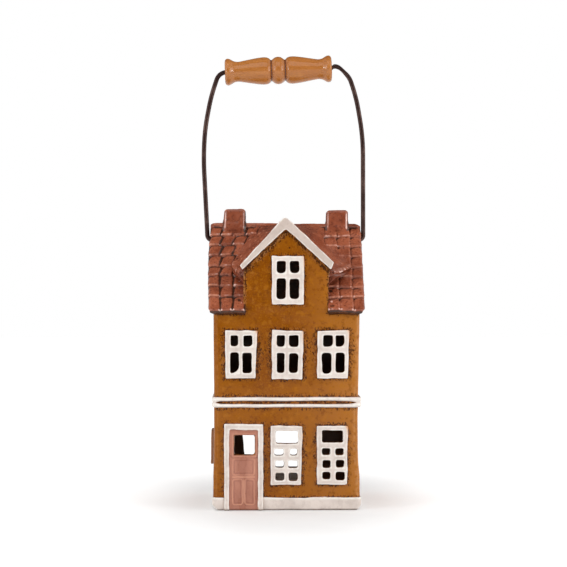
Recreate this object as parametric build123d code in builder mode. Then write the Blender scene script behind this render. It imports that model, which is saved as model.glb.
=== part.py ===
from build123d import *

import os
from math import atan2, cos, radians, sin, tan

# Ceramic tealight house with a wire bail and a turned wooden grip, in millimetres.
# +Z is up, -Y is the street front, and the origin is the middle of the base.

# Slabs of the house
house_width = 88.0
house_depth = 84.0
wall = 4.5
floor_thickness = 3.8
upright_rounding = 1.6
eaves_height = 119.9
overrun = 20.0

# Main roof
roof_pitch = 49.4
roof_slab = 2.8
tile_relief = 1.2
tile_tuck_share = 0.2
eaves_overhang = 4.0
verge_overhang = 2.8
course_count = 8
ridge_margin = 3.4
tile_width = 7.8
tile_groove = 0.8
tile_groove_depth = 1.1

# Chimneys
chimney_width = 13.4
chimney_depth = 13.0
chimney_rise = 8.5
chimney_flare = 0.7
chimney_rounding = 2.0
chimney_spacing = 64.4

# Street gable, which carries the attic window through the eaves
dormer_width = 50.0
cheek = 4.0
gable_half_span = 28.1
gable_foot_rise = 27.4
gable_apex_rise = 1.75
dormer_slab = 2.6
dormer_eave = 2.5
dormer_room_stop = 6.0
valley_top_spread = 19.5
trim_width = 5.0
trim_relief = 2.6
trim_rounding = 0.8
trim_stand = 3.4

# Window frames laid on the walls
frame_relief = 1.8
frame_rounding = 0.7
pane_width = 5.0
pane_rounding = 1.3
mullion = 2.8
stile = 3.0
head_bar = 3.2

# Upper and attic windows: two small panes over two tall ones
four_pane_sill = 3.2
tall_pane = 12.0
four_pane_transom = 4.0
short_pane = 6.7
upper_sill_height = 78.9
attic_sill_rise = 3.4
window_spacing = 27.5

# Ground floor windows: a wide light over three rows of small panes
shop_sill_height = 15.4
shop_sill = 2.4
shop_pane = 4.6
shop_row_bar = 2.5
shop_rows = 3
shop_transom = 3.5
shop_light = 7.2

# Side windows
side_sill_height = 25.0
side_sill = 2.6
side_tall_pane = 7.6
side_transom = 2.8
side_short_pane = 4.4
side_window_shift = 9.0

# Street door
door_offset = -25.9
door_width = 17.4
door_height = 48.4
door_relief = 1.0
door_jamb = 3.0
door_head = 3.4
door_stile = 2.0
door_muntin = 1.8
door_light_width = 12.5
door_light_height = 11.8
door_light_drop = 3.5
door_rail = 2.6
door_kick_rail = 3.3
door_middle_panel = 9.9
door_panel_depth = 0.45
door_panel_rounding = 0.8

# White bands
plinth_height = 7.8
plinth_relief = 0.7
plinth_rounding = 0.5
band_height = 6.2
band_middle_height = 64.8
band_relief = 1.3
band_rounding = 0.9
band_groove = 1.1
band_groove_depth = 0.8
band_groove_stop = 4.0

# Opening in the back for the tealight
opening_width = 50.2
opening_shift = 1.4
opening_sill_height = 15.6
opening_height = 46.4
opening_rounding = 10.0

# Wire bail
wire_diameter = 2.4
wire_play = 0.3
pivot_drop = 10.4
pivot_bend = 3.0
pivot_tail = 4.0
verge_play = 0.7
bail_height = 106.2
bend_share = 0.45
corner_share = 0.96
corner_reach_share = 0.5
left_corner_run = 4.9
right_corner_run = 9.5
# Bends of each arm from the pivot up: (share of the arm's offset, share of the bail's height)
left_arm_shares = [(1.053, 0.477), (1.035, 0.656), (0.957, 0.845)]
right_arm_shares = [(0.998, 0.609), (0.91, 0.845)]

# Turned grip
grip_length = 65.4
grip_radius = 8.5
grip_shift = -4.0
grip_tilt = 2.0
bore_play = 0.3
# Half outline from the middle bead out: (share of the half length, share of the radius)
turning_shares = [
    (0.134, 0.87),
    (0.19, 0.95),
    (0.262, 1.0),
    (0.49, 0.905),
    (0.66, 0.785),
    (0.765, 0.73),
    (0.87, 0.87),
    (0.945, 0.98),
    (1.0, 0.85),
]

# Tealight
cup_radius = 19.0
cup_height = 14.2
cup_foil = 0.3
wax_level = 11.2
wick_diameter = 1.3
wick_rise = 7.0
sustainer_radius = 7.0
sustainer_foil = 0.3
sustainer_collar = 1.4
sustainer_collar_height = 3.0

# Values that follow from the sizes above
half_width = house_width / 2
half_depth = house_depth / 2
inner_depth = half_depth - wall
slope_cos = cos(radians(roof_pitch))
slope_sin = sin(radians(roof_pitch))
slope = slope_sin / slope_cos
roof_run = half_depth + eaves_overhang
roof_top = roof_slab + tile_relief
ridge_height = eaves_height + roof_run * slope
ridge_under = ridge_height - roof_top / slope_cos
ridge_slab_top = ridge_height - tile_relief / slope_cos
verge = half_width + verge_overhang
slope_length = (roof_run - roof_top * slope_sin) / slope_cos
surface_length = roof_run / slope_cos
wall_top = ridge_under - inner_depth * slope
pivot_height = ridge_height - pivot_drop

gable_apex = ridge_height + gable_apex_rise
gable_foot = eaves_height + gable_foot_rise
gable_angle = atan2(gable_apex - gable_foot, gable_half_span)
gable_slope = tan(gable_angle)
dormer_half = dormer_width / 2
room_half = dormer_half - cheek
gable_roof_apex = gable_apex - trim_stand
gable_roof_foot = gable_foot - trim_stand
room_apex = gable_roof_apex - dormer_slab / cos(gable_angle)
room_eave = room_apex - room_half * gable_slope
cheek_top = gable_roof_foot - dormer_eave

street = Plane(origin=(0, -half_depth, 0), x_dir=(1, 0, 0), z_dir=(0, -1, 0))
garden = Plane(origin=(0, half_depth, 0), x_dir=(-1, 0, 0), z_dir=(0, 1, 0))
left_side = Plane(origin=(-half_width, 0, 0), x_dir=(0, -1, 0), z_dir=(-1, 0, 0))
right_side = Plane(origin=(half_width, 0, 0), x_dir=(0, 1, 0), z_dir=(1, 0, 0))


def save(piece, name):
    """Labels a finished piece and writes it as its own STEP file."""
    piece.part.label = name
    export_step(piece.part, f"parts/{name}.step")


def under_roof(y):
    """Height of the main roof's underside at a distance y from the ridge."""
    return ridge_under - abs(y) * slope


# Panes of each kind of window: (x, z, width, height) about the frame's middle and its foot


def paired_panes(row_middle, height):
    offset = (pane_width + mullion) / 2
    return [(side * offset, row_middle, pane_width, height) for side in (-1, 1)]


def four_panes(sill, tall, transom, short):
    lower = paired_panes(sill + tall / 2, tall)
    upper = paired_panes(sill + tall + transom + short / 2, short)
    return lower + upper


def shop_panes():
    panes = []
    for row in range(shop_rows):
        foot = shop_sill + row * (shop_pane + shop_row_bar)
        panes += paired_panes(foot + shop_pane / 2, shop_pane)
    light_foot = shop_sill + shop_rows * shop_pane + (shop_rows - 1) * shop_row_bar + shop_transom
    light_width = 2 * pane_width + mullion
    return panes + [(0, light_foot + shop_light / 2, light_width, shop_light)]


frame_width = 2 * stile + 2 * pane_width + mullion
four_pane_height = four_pane_sill + tall_pane + four_pane_transom + short_pane + head_bar
side_height = side_sill + side_tall_pane + side_transom + side_short_pane + head_bar
shop_height = (
    shop_sill + shop_rows * shop_pane + (shop_rows - 1) * shop_row_bar + shop_transom + shop_light + head_bar
)
four_pane_list = four_panes(four_pane_sill, tall_pane, four_pane_transom, short_pane)
side_pane_list = four_panes(side_sill, side_tall_pane, side_transom, side_short_pane)
shop_pane_list = shop_panes()
attic_sill_height = eaves_height + attic_sill_rise
door_light_middle = door_height - door_light_drop - door_light_height / 2
door_light_foot = door_light_middle - door_light_height / 2

# Street windows: name, x of the middle, height of the foot, outer height, panes
street_windows = [
    ("attic_window", 0, attic_sill_height, four_pane_height, four_pane_list),
    ("upper_window_left", -window_spacing, upper_sill_height, four_pane_height, four_pane_list),
    ("upper_window_centre", 0, upper_sill_height, four_pane_height, four_pane_list),
    ("upper_window_right", window_spacing, upper_sill_height, four_pane_height, four_pane_list),
    ("ground_window_centre", 0, shop_sill_height, shop_height, shop_pane_list),
    ("ground_window_right", window_spacing, shop_sill_height, shop_height, shop_pane_list),
]


def pane_sketch(middle, foot, panes):
    """Draws the panes of one window in the sketch that is open."""
    for x, z, width, height in panes:
        with Locations((middle + x, foot + z)):
            RectangleRounded(width, height, pane_rounding)


def frame_piece(name, plane, middle, foot, height, panes):
    """A flat frame with its panes cut through, laid on a wall's outer face."""
    with BuildPart() as frame:
        with BuildSketch(plane):
            with Locations((middle, foot + height / 2)):
                Rectangle(frame_width, height)
            with BuildSketch(plane, mode=Mode.SUBTRACT):
                pane_sketch(middle, foot, panes)
        extrude(amount=frame_relief)
        outer = frame.faces().sort_by(Axis((0, 0, 0), plane.z_dir))[-1]
        fillet(outer.outer_wire().edges(), frame_rounding)
    save(frame, name)


def roof_cutter(x_from, x_to):
    """Everything above the main roof's underside between two places along the ridge."""
    reach = half_depth + overrun
    with BuildPart() as cutter:
        with BuildSketch(Plane.YZ.offset(x_from)):
            with BuildLine():
                Polyline(
                    (-reach, under_roof(reach)),
                    (0, ridge_under),
                    (reach, under_roof(reach)),
                    (reach, ridge_height + overrun),
                    (-reach, ridge_height + overrun),
                    close=True,
                )
            make_face()
        extrude(amount=x_to - x_from)
    return cutter.part


def upright_corners(piece, y):
    """The two outer upright edges of a wall at the given y."""
    edges = piece.edges().filter_by(Axis.Z)
    return [e for e in edges if abs(e.center().Y - y) < wall / 2 and abs(abs(e.center().X) - half_width) < wall / 2]


os.makedirs("parts", exist_ok=True)

# Floor slab, set between the four walls
with BuildPart() as floor_slab:
    with BuildSketch():
        Rectangle(house_width - 2 * wall, 2 * inner_depth)
    extrude(amount=floor_thickness)
save(floor_slab, "floor_slab")

# Street wall with its gable, pierced for every pane and for the light in the door
with BuildPart() as front_wall:
    with BuildSketch(street):
        with BuildLine():
            Polyline(
                (-half_width, 0),
                (half_width, 0),
                (half_width, wall_top),
                (dormer_half, wall_top),
                (dormer_half, cheek_top),
                (room_half, cheek_top),
                (room_half, room_eave),
                (0, room_apex),
                (-room_half, room_eave),
                (-room_half, cheek_top),
                (-dormer_half, cheek_top),
                (-dormer_half, wall_top),
                (-half_width, wall_top),
                close=True,
            )
        make_face()
        with BuildSketch(street, mode=Mode.SUBTRACT):
            for _, middle, foot, _, panes in street_windows:
                pane_sketch(middle, foot, panes)
            with Locations((door_offset, door_light_middle)):
                RectangleRounded(door_light_width, door_light_height, pane_rounding)
    extrude(amount=-wall)
    add(roof_cutter(dormer_half, verge + overrun), mode=Mode.SUBTRACT)
    add(roof_cutter(-verge - overrun, -dormer_half), mode=Mode.SUBTRACT)
    fillet(upright_corners(front_wall, -half_depth), upright_rounding)
save(front_wall, "front_wall")

# Back wall with the opening for the tealight
with BuildPart() as back_wall:
    with BuildSketch(garden):
        with Locations((0, wall_top / 2)):
            Rectangle(house_width, wall_top)
        with Locations((opening_shift, opening_sill_height + opening_height / 2)):
            RectangleRounded(opening_width, opening_height, opening_rounding, mode=Mode.SUBTRACT)
    extrude(amount=-wall)
    add(roof_cutter(-verge - overrun, verge + overrun), mode=Mode.SUBTRACT)
    fillet(upright_corners(back_wall, half_depth), upright_rounding)
save(back_wall, "back_wall")

# Side walls, each with a window and the hole that carries one end of the bail
for name, plane, shift in (("left_wall", left_side, side_window_shift), ("right_wall", right_side, -side_window_shift)):
    with BuildPart() as side_wall:
        with BuildSketch(plane):
            with BuildLine():
                Polyline(
                    (-inner_depth, 0),
                    (inner_depth, 0),
                    (inner_depth, wall_top),
                    (0, ridge_under),
                    (-inner_depth, wall_top),
                    close=True,
                )
            make_face()
            with BuildSketch(plane, mode=Mode.SUBTRACT):
                pane_sketch(shift, side_sill_height, side_pane_list)
                with Locations((0, pivot_height)):
                    Circle(wire_diameter / 2 + wire_play)
        extrude(amount=-wall)
    save(side_wall, name)

# Cheeks that close the sides of the street gable down to the main roof's underside
for name, side in (("dormer_cheek_left", -1), ("dormer_cheek_right", 1)):
    with BuildPart() as dormer_cheek:
        with BuildSketch(Plane.YZ.offset(side * room_half)):
            with BuildLine():
                Polyline(
                    (-inner_depth, wall_top),
                    (-inner_depth, cheek_top),
                    (-(ridge_under - cheek_top) / slope, cheek_top),
                    close=True,
                )
            make_face()
        extrude(amount=side * cheek)
    save(dormer_cheek, name)

# Room inside the street gable, which opens into the house
with BuildPart() as gable_room:
    with BuildSketch(street.offset(overrun)):
        with BuildLine():
            Polyline(
                (-room_half, eaves_height - overrun),
                (room_half, eaves_height - overrun),
                (room_half, room_eave),
                (0, room_apex),
                (-room_half, room_eave),
                close=True,
            )
        make_face()
    extrude(amount=-(half_depth + overrun - dormer_room_stop))

# Everything below the top of the main roof's slab on the street side
with BuildPart() as below_slab_top:
    with BuildSketch(Plane.YZ.offset(-verge - overrun)):
        with BuildLine():
            Polyline(
                (overrun, ridge_slab_top),
                (0, ridge_slab_top),
                (-half_depth - overrun, ridge_slab_top - (half_depth + overrun) * slope),
                (-half_depth - overrun, -overrun),
                (overrun, -overrun),
                close=True,
            )
        make_face()
    extrude(amount=2 * (verge + overrun))


def plane_over(a, b, c):
    """The plane through three points, facing up."""
    normal = (b - a).cross(c - a)
    return Plane(origin=a, z_dir=normal if normal.Z > 0 else -normal)


def gable_roof(side):
    """One smooth half of the street gable's roof, which spreads back to its valley in the main roof."""
    front_apex = Vector(0, -half_depth, gable_roof_apex)
    front_foot = Vector(side * gable_half_span, -half_depth, gable_roof_foot)
    valley_top = Vector(side * valley_top_spread, 0, ridge_height)
    back_apex = Vector(0, 0, ridge_height)
    smooth_side = plane_over(front_apex, front_foot, valley_top)
    along_valley = smooth_side.z_dir.cross(Vector(0, -slope_sin, slope_cos))
    valley = Plane(origin=valley_top, z_dir=along_valley.cross(Vector(0, 0, side)))
    with BuildPart() as half:
        with BuildSketch(street):
            with BuildLine():
                Polyline(
                    (0, cheek_top),
                    (side * (verge + overrun), cheek_top),
                    (side * (verge + overrun), gable_apex),
                    (0, gable_apex),
                    close=True,
                )
            make_face()
        extrude(amount=-half_depth)
        split(bisect_by=smooth_side, keep=Keep.BOTTOM)
        split(bisect_by=plane_over(front_apex, valley_top, back_apex), keep=Keep.BOTTOM)
        split(bisect_by=valley if side * valley.z_dir.X > 0 else -valley, keep=Keep.BOTTOM)
        add(gable_room.part, mode=Mode.SUBTRACT)
        add(below_slab_top.part, mode=Mode.SUBTRACT)
    return half


gable_roofs = {side: gable_roof(side) for side in (-1, 1)}
save(gable_roofs[-1], "dormer_roof_left")
save(gable_roofs[1], "dormer_roof_right")

# Main roof: slabs whose upper face steps down in courses and is scored into tiles


def course_outline():
    """Section of one roof slope, with x down the slope from the ridge and y out of it."""
    low = roof_slab + tile_relief * tile_tuck_share
    crest = -roof_top * slope
    course = (surface_length - ridge_margin) / course_count
    points = [(0, 0), (crest, roof_top), (crest + ridge_margin, roof_top)]
    for number in range(course_count):
        points.append((crest + ridge_margin + number * course, low))
        points.append((crest + ridge_margin + (number + 1) * course, roof_top))
    return points + [(slope_length, 0)]


def roof_slope(x_from, x_to, facing, joints):
    """A tiled slope from x_from to x_to, facing the street at -1 or the garden at 1."""
    section = Plane(
        origin=(x_from, 0, ridge_under), x_dir=(0, facing * slope_cos, -slope_sin), z_dir=(facing, 0, 0)
    )
    surface = Plane(
        origin=(0, 0, ridge_height), x_dir=(-facing, 0, 0), z_dir=(0, facing * slope_sin, slope_cos)
    )
    with BuildPart() as tiled:
        with BuildSketch(section):
            with BuildLine():
                Polyline(*course_outline(), close=True)
            make_face()
        extrude(amount=facing * (x_to - x_from))
        with BuildSketch(surface):
            for x in joints:
                with Locations((-facing * x, -(surface_length + ridge_margin) / 2)):
                    Rectangle(tile_groove, surface_length - ridge_margin)
        extrude(amount=-tile_groove_depth, mode=Mode.SUBTRACT)
    return tiled


tile_count = round(2 * verge / tile_width)
tile_pitch = 2 * verge / tile_count
tile_joints = [tile_pitch * number - verge for number in range(1, tile_count)]

roof_back = roof_slope(-verge, verge, 1, tile_joints)
save(roof_back, "roof_back")

roof_fronts = {}
for name, side in (("roof_front_left", -1), ("roof_front_right", 1)):
    joints = [x for x in tile_joints if side * x > tile_groove]
    with BuildPart() as roof_front:
        add(roof_slope(min(0, side * verge), max(0, side * verge), -1, joints).part)
        add(gable_room.part, mode=Mode.SUBTRACT)
        with BuildSketch(Plane.YZ.offset(side * room_half)):
            with BuildLine():
                Polyline(
                    (-half_depth - overrun, under_roof(half_depth + overrun)),
                    (-half_depth - overrun, cheek_top),
                    (-(ridge_under - cheek_top) / slope, cheek_top),
                    close=True,
                )
            make_face()
        extrude(amount=side * cheek, mode=Mode.SUBTRACT)
        add(gable_roofs[side].part, mode=Mode.SUBTRACT)
    roof_fronts[side] = roof_front
    save(roof_front, name)

# Chimneys astride the ridge, cut to the roof they stand on
for name, side in (("chimney_left", -1), ("chimney_right", 1)):
    chimney_top = ridge_height + chimney_rise
    chimney_foot = ridge_height - chimney_depth * slope
    with BuildPart() as chimney:
        with BuildSketch(Plane.XY.offset(chimney_foot)):
            with Locations((side * chimney_spacing / 2, 0)):
                Rectangle(chimney_width + 2 * chimney_flare, chimney_depth + 2 * chimney_flare)
        with BuildSketch(Plane.XY.offset(chimney_top)):
            with Locations((side * chimney_spacing / 2, 0)):
                Rectangle(chimney_width, chimney_depth)
        loft(ruled=True)
        fillet(chimney.faces().sort_by(Axis.Z)[-1].edges(), chimney_rounding)
        add(roof_back.part, mode=Mode.SUBTRACT)
        add(roof_fronts[side].part, mode=Mode.SUBTRACT)
        add(gable_roofs[side].part, mode=Mode.SUBTRACT)
        inside = [solid for solid in chimney.solids() if solid.center().Z < ridge_under]
        for solid in inside:
            add(solid, mode=Mode.SUBTRACT)
    save(chimney, name)

# White boards along the street gable, mitred at its apex
for name, side in (("gable_trim_left", -1), ("gable_trim_right", 1)):
    trim_foot = (
        side * (gable_half_span - trim_width * sin(gable_angle)),
        gable_foot - trim_width * cos(gable_angle),
    )
    with BuildPart() as gable_trim:
        with BuildSketch(street):
            with BuildLine():
                Polyline(
                    (0, gable_apex),
                    (side * gable_half_span, gable_foot),
                    trim_foot,
                    (0, gable_apex - trim_width / cos(gable_angle)),
                    close=True,
                )
            make_face()
        extrude(amount=trim_relief)
        edges = gable_trim.faces().sort_by(Axis.Y)[0].edges()
        fillet([edge for edge in edges if abs(edge.center().X) > trim_rounding], trim_rounding)
    save(gable_trim, name)

# Frames on the street wall and the side walls
for name, middle, foot, height, panes in street_windows:
    frame_piece(name, street, middle, foot, height, panes)
frame_piece("side_window_left", left_side, side_window_shift, side_sill_height, side_height, side_pane_list)
frame_piece("side_window_right", right_side, -side_window_shift, side_sill_height, side_height, side_pane_list)

# Door: a panelled leaf in relief and the frame around it
with BuildPart() as door_leaf:
    with BuildSketch(street):
        with Locations((door_offset, door_height / 2)):
            Rectangle(door_width, door_height)
        with Locations((door_offset, door_light_middle)):
            RectangleRounded(door_light_width, door_light_height, pane_rounding, mode=Mode.SUBTRACT)
    extrude(amount=door_relief)
    panel_width = door_width - 2 * door_stile
    middle_foot = door_light_foot - door_rail - door_middle_panel
    low_height = middle_foot - door_rail - door_kick_rail
    low_width = (panel_width - door_muntin) / 2
    with BuildSketch(street.offset(door_relief)):
        with Locations((door_offset, middle_foot + door_middle_panel / 2)):
            RectangleRounded(panel_width, door_middle_panel, door_panel_rounding)
        with Locations((door_offset, door_kick_rail + low_height / 2)):
            with GridLocations(low_width + door_muntin, 0, 2, 1):
                RectangleRounded(low_width, low_height, door_panel_rounding)
    extrude(amount=-door_panel_depth, mode=Mode.SUBTRACT)
save(door_leaf, "door_leaf")

frame_half = door_width / 2 + door_jamb
with BuildPart() as door_frame:
    with BuildSketch(street):
        with Locations((door_offset, (door_height + door_head) / 2)):
            Rectangle(2 * frame_half, door_height + door_head)
        with Locations((door_offset, door_height / 2)):
            Rectangle(door_width, door_height, mode=Mode.SUBTRACT)
    extrude(amount=frame_relief)
    edges = door_frame.faces().sort_by(Axis.Y)[0].edges()
    fillet([edge for edge in edges if edge.center().Z > frame_relief], frame_rounding)
save(door_frame, "door_frame")

# Doubled white band between the storeys
for name, plane, length in (
    ("string_band_front", street, house_width + 2 * band_relief),
    ("string_band_left", left_side, house_depth),
    ("string_band_right", right_side, house_depth),
):
    with BuildPart() as string_band:
        with BuildSketch(plane):
            with Locations((0, band_middle_height)):
                Rectangle(length, band_height)
        extrude(amount=band_relief)
        fillet(string_band.faces().sort_by(Axis((0, 0, 0), plane.z_dir))[-1].edges(), band_rounding)
        with BuildSketch(plane.offset(band_relief)):
            with Locations((0, band_middle_height)):
                SlotOverall(length - 2 * band_groove_stop, band_groove)
        extrude(amount=-band_groove_depth, mode=Mode.SUBTRACT)
    save(string_band, name)

# White plinth, laid in strips around the foot of the walls
plinth_end = half_width + plinth_relief
door_left = door_offset - frame_half
door_right = door_offset + frame_half
for name, plane, start, end in (
    ("plinth_front_left", street, -plinth_end, door_left),
    ("plinth_front_right", street, door_right, plinth_end),
    ("plinth_back", garden, -plinth_end, plinth_end),
    ("plinth_left", left_side, -half_depth, half_depth),
    ("plinth_right", right_side, -half_depth, half_depth),
):
    with BuildPart() as plinth:
        with BuildSketch(plane):
            with Locations(((start + end) / 2, plinth_height / 2)):
                Rectangle(end - start, plinth_height)
        extrude(amount=plinth_relief)
        outer = plinth.faces().sort_by(Axis((0, 0, 0), plane.z_dir))[-1]
        fillet(outer.edges().sort_by(Axis.Z)[-1], plinth_rounding)
    save(plinth, name)

# Turned grip on the wire, tilted as the bail is bent
grip_axis = Vector(cos(radians(grip_tilt)), 0, sin(radians(grip_tilt)))
grip_middle = Vector(grip_shift, 0, pivot_height + bail_height)
half_grip = grip_length / 2
bore = wire_diameter / 2 + bore_play
with BuildPart() as wooden_grip:
    with BuildSketch(Plane(origin=grip_middle, x_dir=grip_axis, z_dir=(0, -1, 0))):
        with BuildLine():
            groove_x, groove_r = turning_shares[0]
            ThreePointArc(
                (-groove_x * half_grip, groove_r * grip_radius),
                (0, grip_radius),
                (groove_x * half_grip, groove_r * grip_radius),
            )
            for side in (-1, 1):
                turned = [(side * x * half_grip, r * grip_radius) for x, r in turning_shares]
                Spline(*turned)
                Line(turned[-1], (side * half_grip, bore))
            Line((-half_grip, bore), (half_grip, bore))
        make_face()
    revolve(axis=Axis(grip_middle, grip_axis))
save(wooden_grip, "wooden_grip")

# Wire bail: its ends turn in through the side walls and its top runs through the grip
arm = verge + verge_play + wire_diameter / 2
tail = half_width - wall - pivot_tail


def arm_points(side, shares):
    """Bends of one arm from the pivot up."""
    bends = [(side * arm * x, pivot_height + bail_height * z) for x, z in shares]
    return [(side * tail, pivot_height), (side * arm, pivot_height)] + bends


left_corner = grip_middle - grip_axis * (half_grip + left_corner_run)
right_corner = grip_middle + grip_axis * (half_grip + right_corner_run)
bail_points = [Vector(x, 0, z) for x, z in arm_points(-1, left_arm_shares)]
bail_points += [left_corner, right_corner]
bail_points += [Vector(x, 0, z) for x, z in reversed(arm_points(1, right_arm_shares))]
bends = []
for before, here, after in zip(bail_points, bail_points[1:], bail_points[2:]):
    half_turn = radians((here - before).get_angle(after - here)) / 2
    reach = min((here - before).length, (after - here).length)
    run = reach * bend_share
    if here == left_corner:
        run = min(left_corner_run * corner_share, reach * corner_reach_share)
    if here == right_corner:
        run = min(right_corner_run * corner_share, reach * corner_reach_share)
    if here.Z == pivot_height:
        run = pivot_bend * tan(half_turn)
    bends.append(run / tan(half_turn))
with BuildPart() as bail_wire:
    with BuildLine():
        FilletPolyline(*bail_points, radius=bends)
    with BuildSketch(Plane(origin=bail_points[0], z_dir=bail_points[1] - bail_points[0])):
        Circle(wire_diameter / 2)
    sweep()
save(bail_wire, "bail_wire")

# Tealight on the floor slab: foil cup, wick in its sustainer, wax around them
cup_floor = floor_thickness + cup_foil
wax_height = cup_floor + wax_level
with BuildPart() as tealight_cup:
    with BuildSketch(Plane.XY.offset(floor_thickness)):
        Circle(cup_radius)
    extrude(amount=cup_height)
    with BuildSketch(Plane.XY.offset(cup_floor)):
        Circle(cup_radius - cup_foil)
    extrude(amount=cup_height, mode=Mode.SUBTRACT)
save(tealight_cup, "tealight_cup")

with BuildPart() as wick_sustainer:
    with BuildSketch(Plane.XY.offset(cup_floor)):
        Circle(sustainer_radius)
    extrude(amount=sustainer_foil)
    with BuildSketch(Plane.XY.offset(cup_floor + sustainer_foil)):
        Circle(sustainer_collar)
        Circle(wick_diameter / 2, mode=Mode.SUBTRACT)
    extrude(amount=sustainer_collar_height)
save(wick_sustainer, "wick_sustainer")

with BuildPart() as tealight_wick:
    with BuildSketch(Plane.XY.offset(cup_floor + sustainer_foil)):
        Circle(wick_diameter / 2)
    extrude(amount=wax_height + wick_rise - cup_floor - sustainer_foil)
save(tealight_wick, "tealight_wick")

with BuildPart() as tealight_wax:
    with BuildSketch(Plane.XY.offset(cup_floor)):
        Circle(cup_radius - cup_foil)
    extrude(amount=wax_level)
    add(wick_sustainer.part, mode=Mode.SUBTRACT)
    add(tealight_wick.part, mode=Mode.SUBTRACT)
save(tealight_wax, "tealight_wax")
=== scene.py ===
import math

import bmesh
import bpy
import numpy as np
from mathutils import Matrix, Vector


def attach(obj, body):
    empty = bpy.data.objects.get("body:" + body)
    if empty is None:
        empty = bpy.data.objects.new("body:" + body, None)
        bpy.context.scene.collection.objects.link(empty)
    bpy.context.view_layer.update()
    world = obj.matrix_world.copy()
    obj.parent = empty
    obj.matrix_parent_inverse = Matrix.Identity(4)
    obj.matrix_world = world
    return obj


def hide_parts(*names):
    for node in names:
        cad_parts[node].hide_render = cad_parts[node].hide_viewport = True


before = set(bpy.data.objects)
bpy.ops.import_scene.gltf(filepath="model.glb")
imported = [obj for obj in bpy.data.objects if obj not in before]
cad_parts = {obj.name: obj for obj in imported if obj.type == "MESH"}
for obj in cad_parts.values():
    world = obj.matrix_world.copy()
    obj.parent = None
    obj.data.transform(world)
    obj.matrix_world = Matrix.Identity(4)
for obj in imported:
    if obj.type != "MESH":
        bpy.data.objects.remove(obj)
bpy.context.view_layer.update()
scene = bpy.context.scene
scene.view_settings.view_transform = "Standard"

# Sizes repeated from the CAD, in millimetres
MM = 0.001
HALF_WIDTH = 44.0
HALF_DEPTH = 42.0
WALL = 4.5
VERGE = 46.8
EAVES = 119.9
PITCH = math.radians(49.4)
ROOF_RUN = 46.0
RIDGE = EAVES + ROOF_RUN * math.tan(PITCH)
ROOF_THICKNESS = 4.0
SLOPE_LENGTH = ROOF_RUN / math.cos(PITCH)
PIVOT = RIDGE - 10.4
GABLE_APEX = RIDGE + 1.75
GABLE_FOOT = EAVES + 27.4
GABLE_SPAN = 28.1
FRAME_RELIEF = 1.8
TRIM_RELIEF = 2.6
BAND_MIDDLE = 64.8


# Noise, the same on every run


def hashed(ix, iy, iz, seed):
    n = (ix * 73856093) ^ (iy * 19349663) ^ (iz * 83492791) ^ (seed * 961748927)
    n = (n ^ (n >> 13)) * 1274126177
    n = n ^ (n >> 16)
    return (n & 0xFFFF) / 32767.5 - 1.0


def lumps(points, size, seed):
    """Smooth noise between -1 and 1 at each point, with features of about the given size."""
    p = np.asarray(points, dtype=np.float64) / size
    cell = np.floor(p).astype(np.int64)
    f = p - cell
    f = f * f * (3 - 2 * f)
    total = np.zeros(len(p))
    for dx in (0, 1):
        for dy in (0, 1):
            for dz in (0, 1):
                weight = np.where(dx, f[:, 0], 1 - f[:, 0])
                weight = weight * np.where(dy, f[:, 1], 1 - f[:, 1])
                weight = weight * np.where(dz, f[:, 2], 1 - f[:, 2])
                total += weight * hashed(cell[:, 0] + dx, cell[:, 1] + dy, cell[:, 2] + dz, seed)
    return total


def wave(values, size, seed):
    """Smooth noise along a line."""
    values = np.atleast_1d(np.asarray(values, dtype=np.float64))
    points = np.stack([values, np.full_like(values, 7.3), np.full_like(values, 1.9)], axis=1)
    return lumps(points, size, seed)


# Meshes


def new_object(name, verts, faces, smooth=True):
    """A mesh object from points in millimetres."""
    mesh = bpy.data.meshes.new(name)
    mesh.from_pydata([tuple(v) for v in np.asarray(verts) * MM], [], [tuple(f) for f in faces])
    mesh.update()
    if smooth:
        mesh.shade_smooth()
    obj = bpy.data.objects.new(name + "_form", mesh)
    scene.collection.objects.link(obj)
    return obj


def points_of(mesh):
    """Points of a mesh in millimetres."""
    co = np.empty(len(mesh.vertices) * 3)
    mesh.vertices.foreach_get("co", co)
    return co.reshape(-1, 3) / MM


def normals_of(mesh):
    values = np.empty(len(mesh.vertices) * 3, dtype=np.float32)
    mesh.vertex_normals.foreach_get("vector", values)
    return values.reshape(-1, 3).astype(np.float64)


def set_points(mesh, points):
    mesh.vertices.foreach_set("co", (np.asarray(points) * MM).ravel())
    mesh.update()


def put(mesh, name, values):
    """Stores a number for each point, for the materials to read."""
    attribute = mesh.attributes.new(name, "FLOAT", "POINT")
    attribute.data.foreach_set("value", np.asarray(values, dtype=np.float32))


def slab_mesh(outline, holes, depth):
    """A flat slab in millimetres, from an outline with holes, in x and y and from z 0 up to depth."""
    curve = bpy.data.curves.new("slab", "CURVE")
    curve.dimensions = "2D"
    curve.fill_mode = "BOTH"
    curve.extrude = depth / 2
    for loop in [outline] + list(holes):
        spline = curve.splines.new("POLY")
        spline.points.add(len(loop) - 1)
        for point, (x, y) in zip(spline.points, loop):
            point.co = (x, y, 0, 1)
        spline.use_cyclic_u = True
    obj = bpy.data.objects.new("slab", curve)
    scene.collection.objects.link(obj)
    mesh = bpy.data.meshes.new_from_object(obj.evaluated_get(bpy.context.evaluated_depsgraph_get()))
    bpy.data.objects.remove(obj)
    bpy.data.curves.remove(curve)
    mesh.transform(Matrix.Translation((0, 0, depth / 2)))
    return mesh


def node_mesh(*names):
    """A copy of CAD nodes as one mesh, in millimetres."""
    bm = bmesh.new()
    for name in names:
        bm.from_mesh(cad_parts[name].data)
    mesh = bpy.data.meshes.new("copy")
    bm.to_mesh(mesh)
    bm.free()
    mesh.transform(Matrix.Scale(1 / MM, 4))
    return mesh


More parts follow.
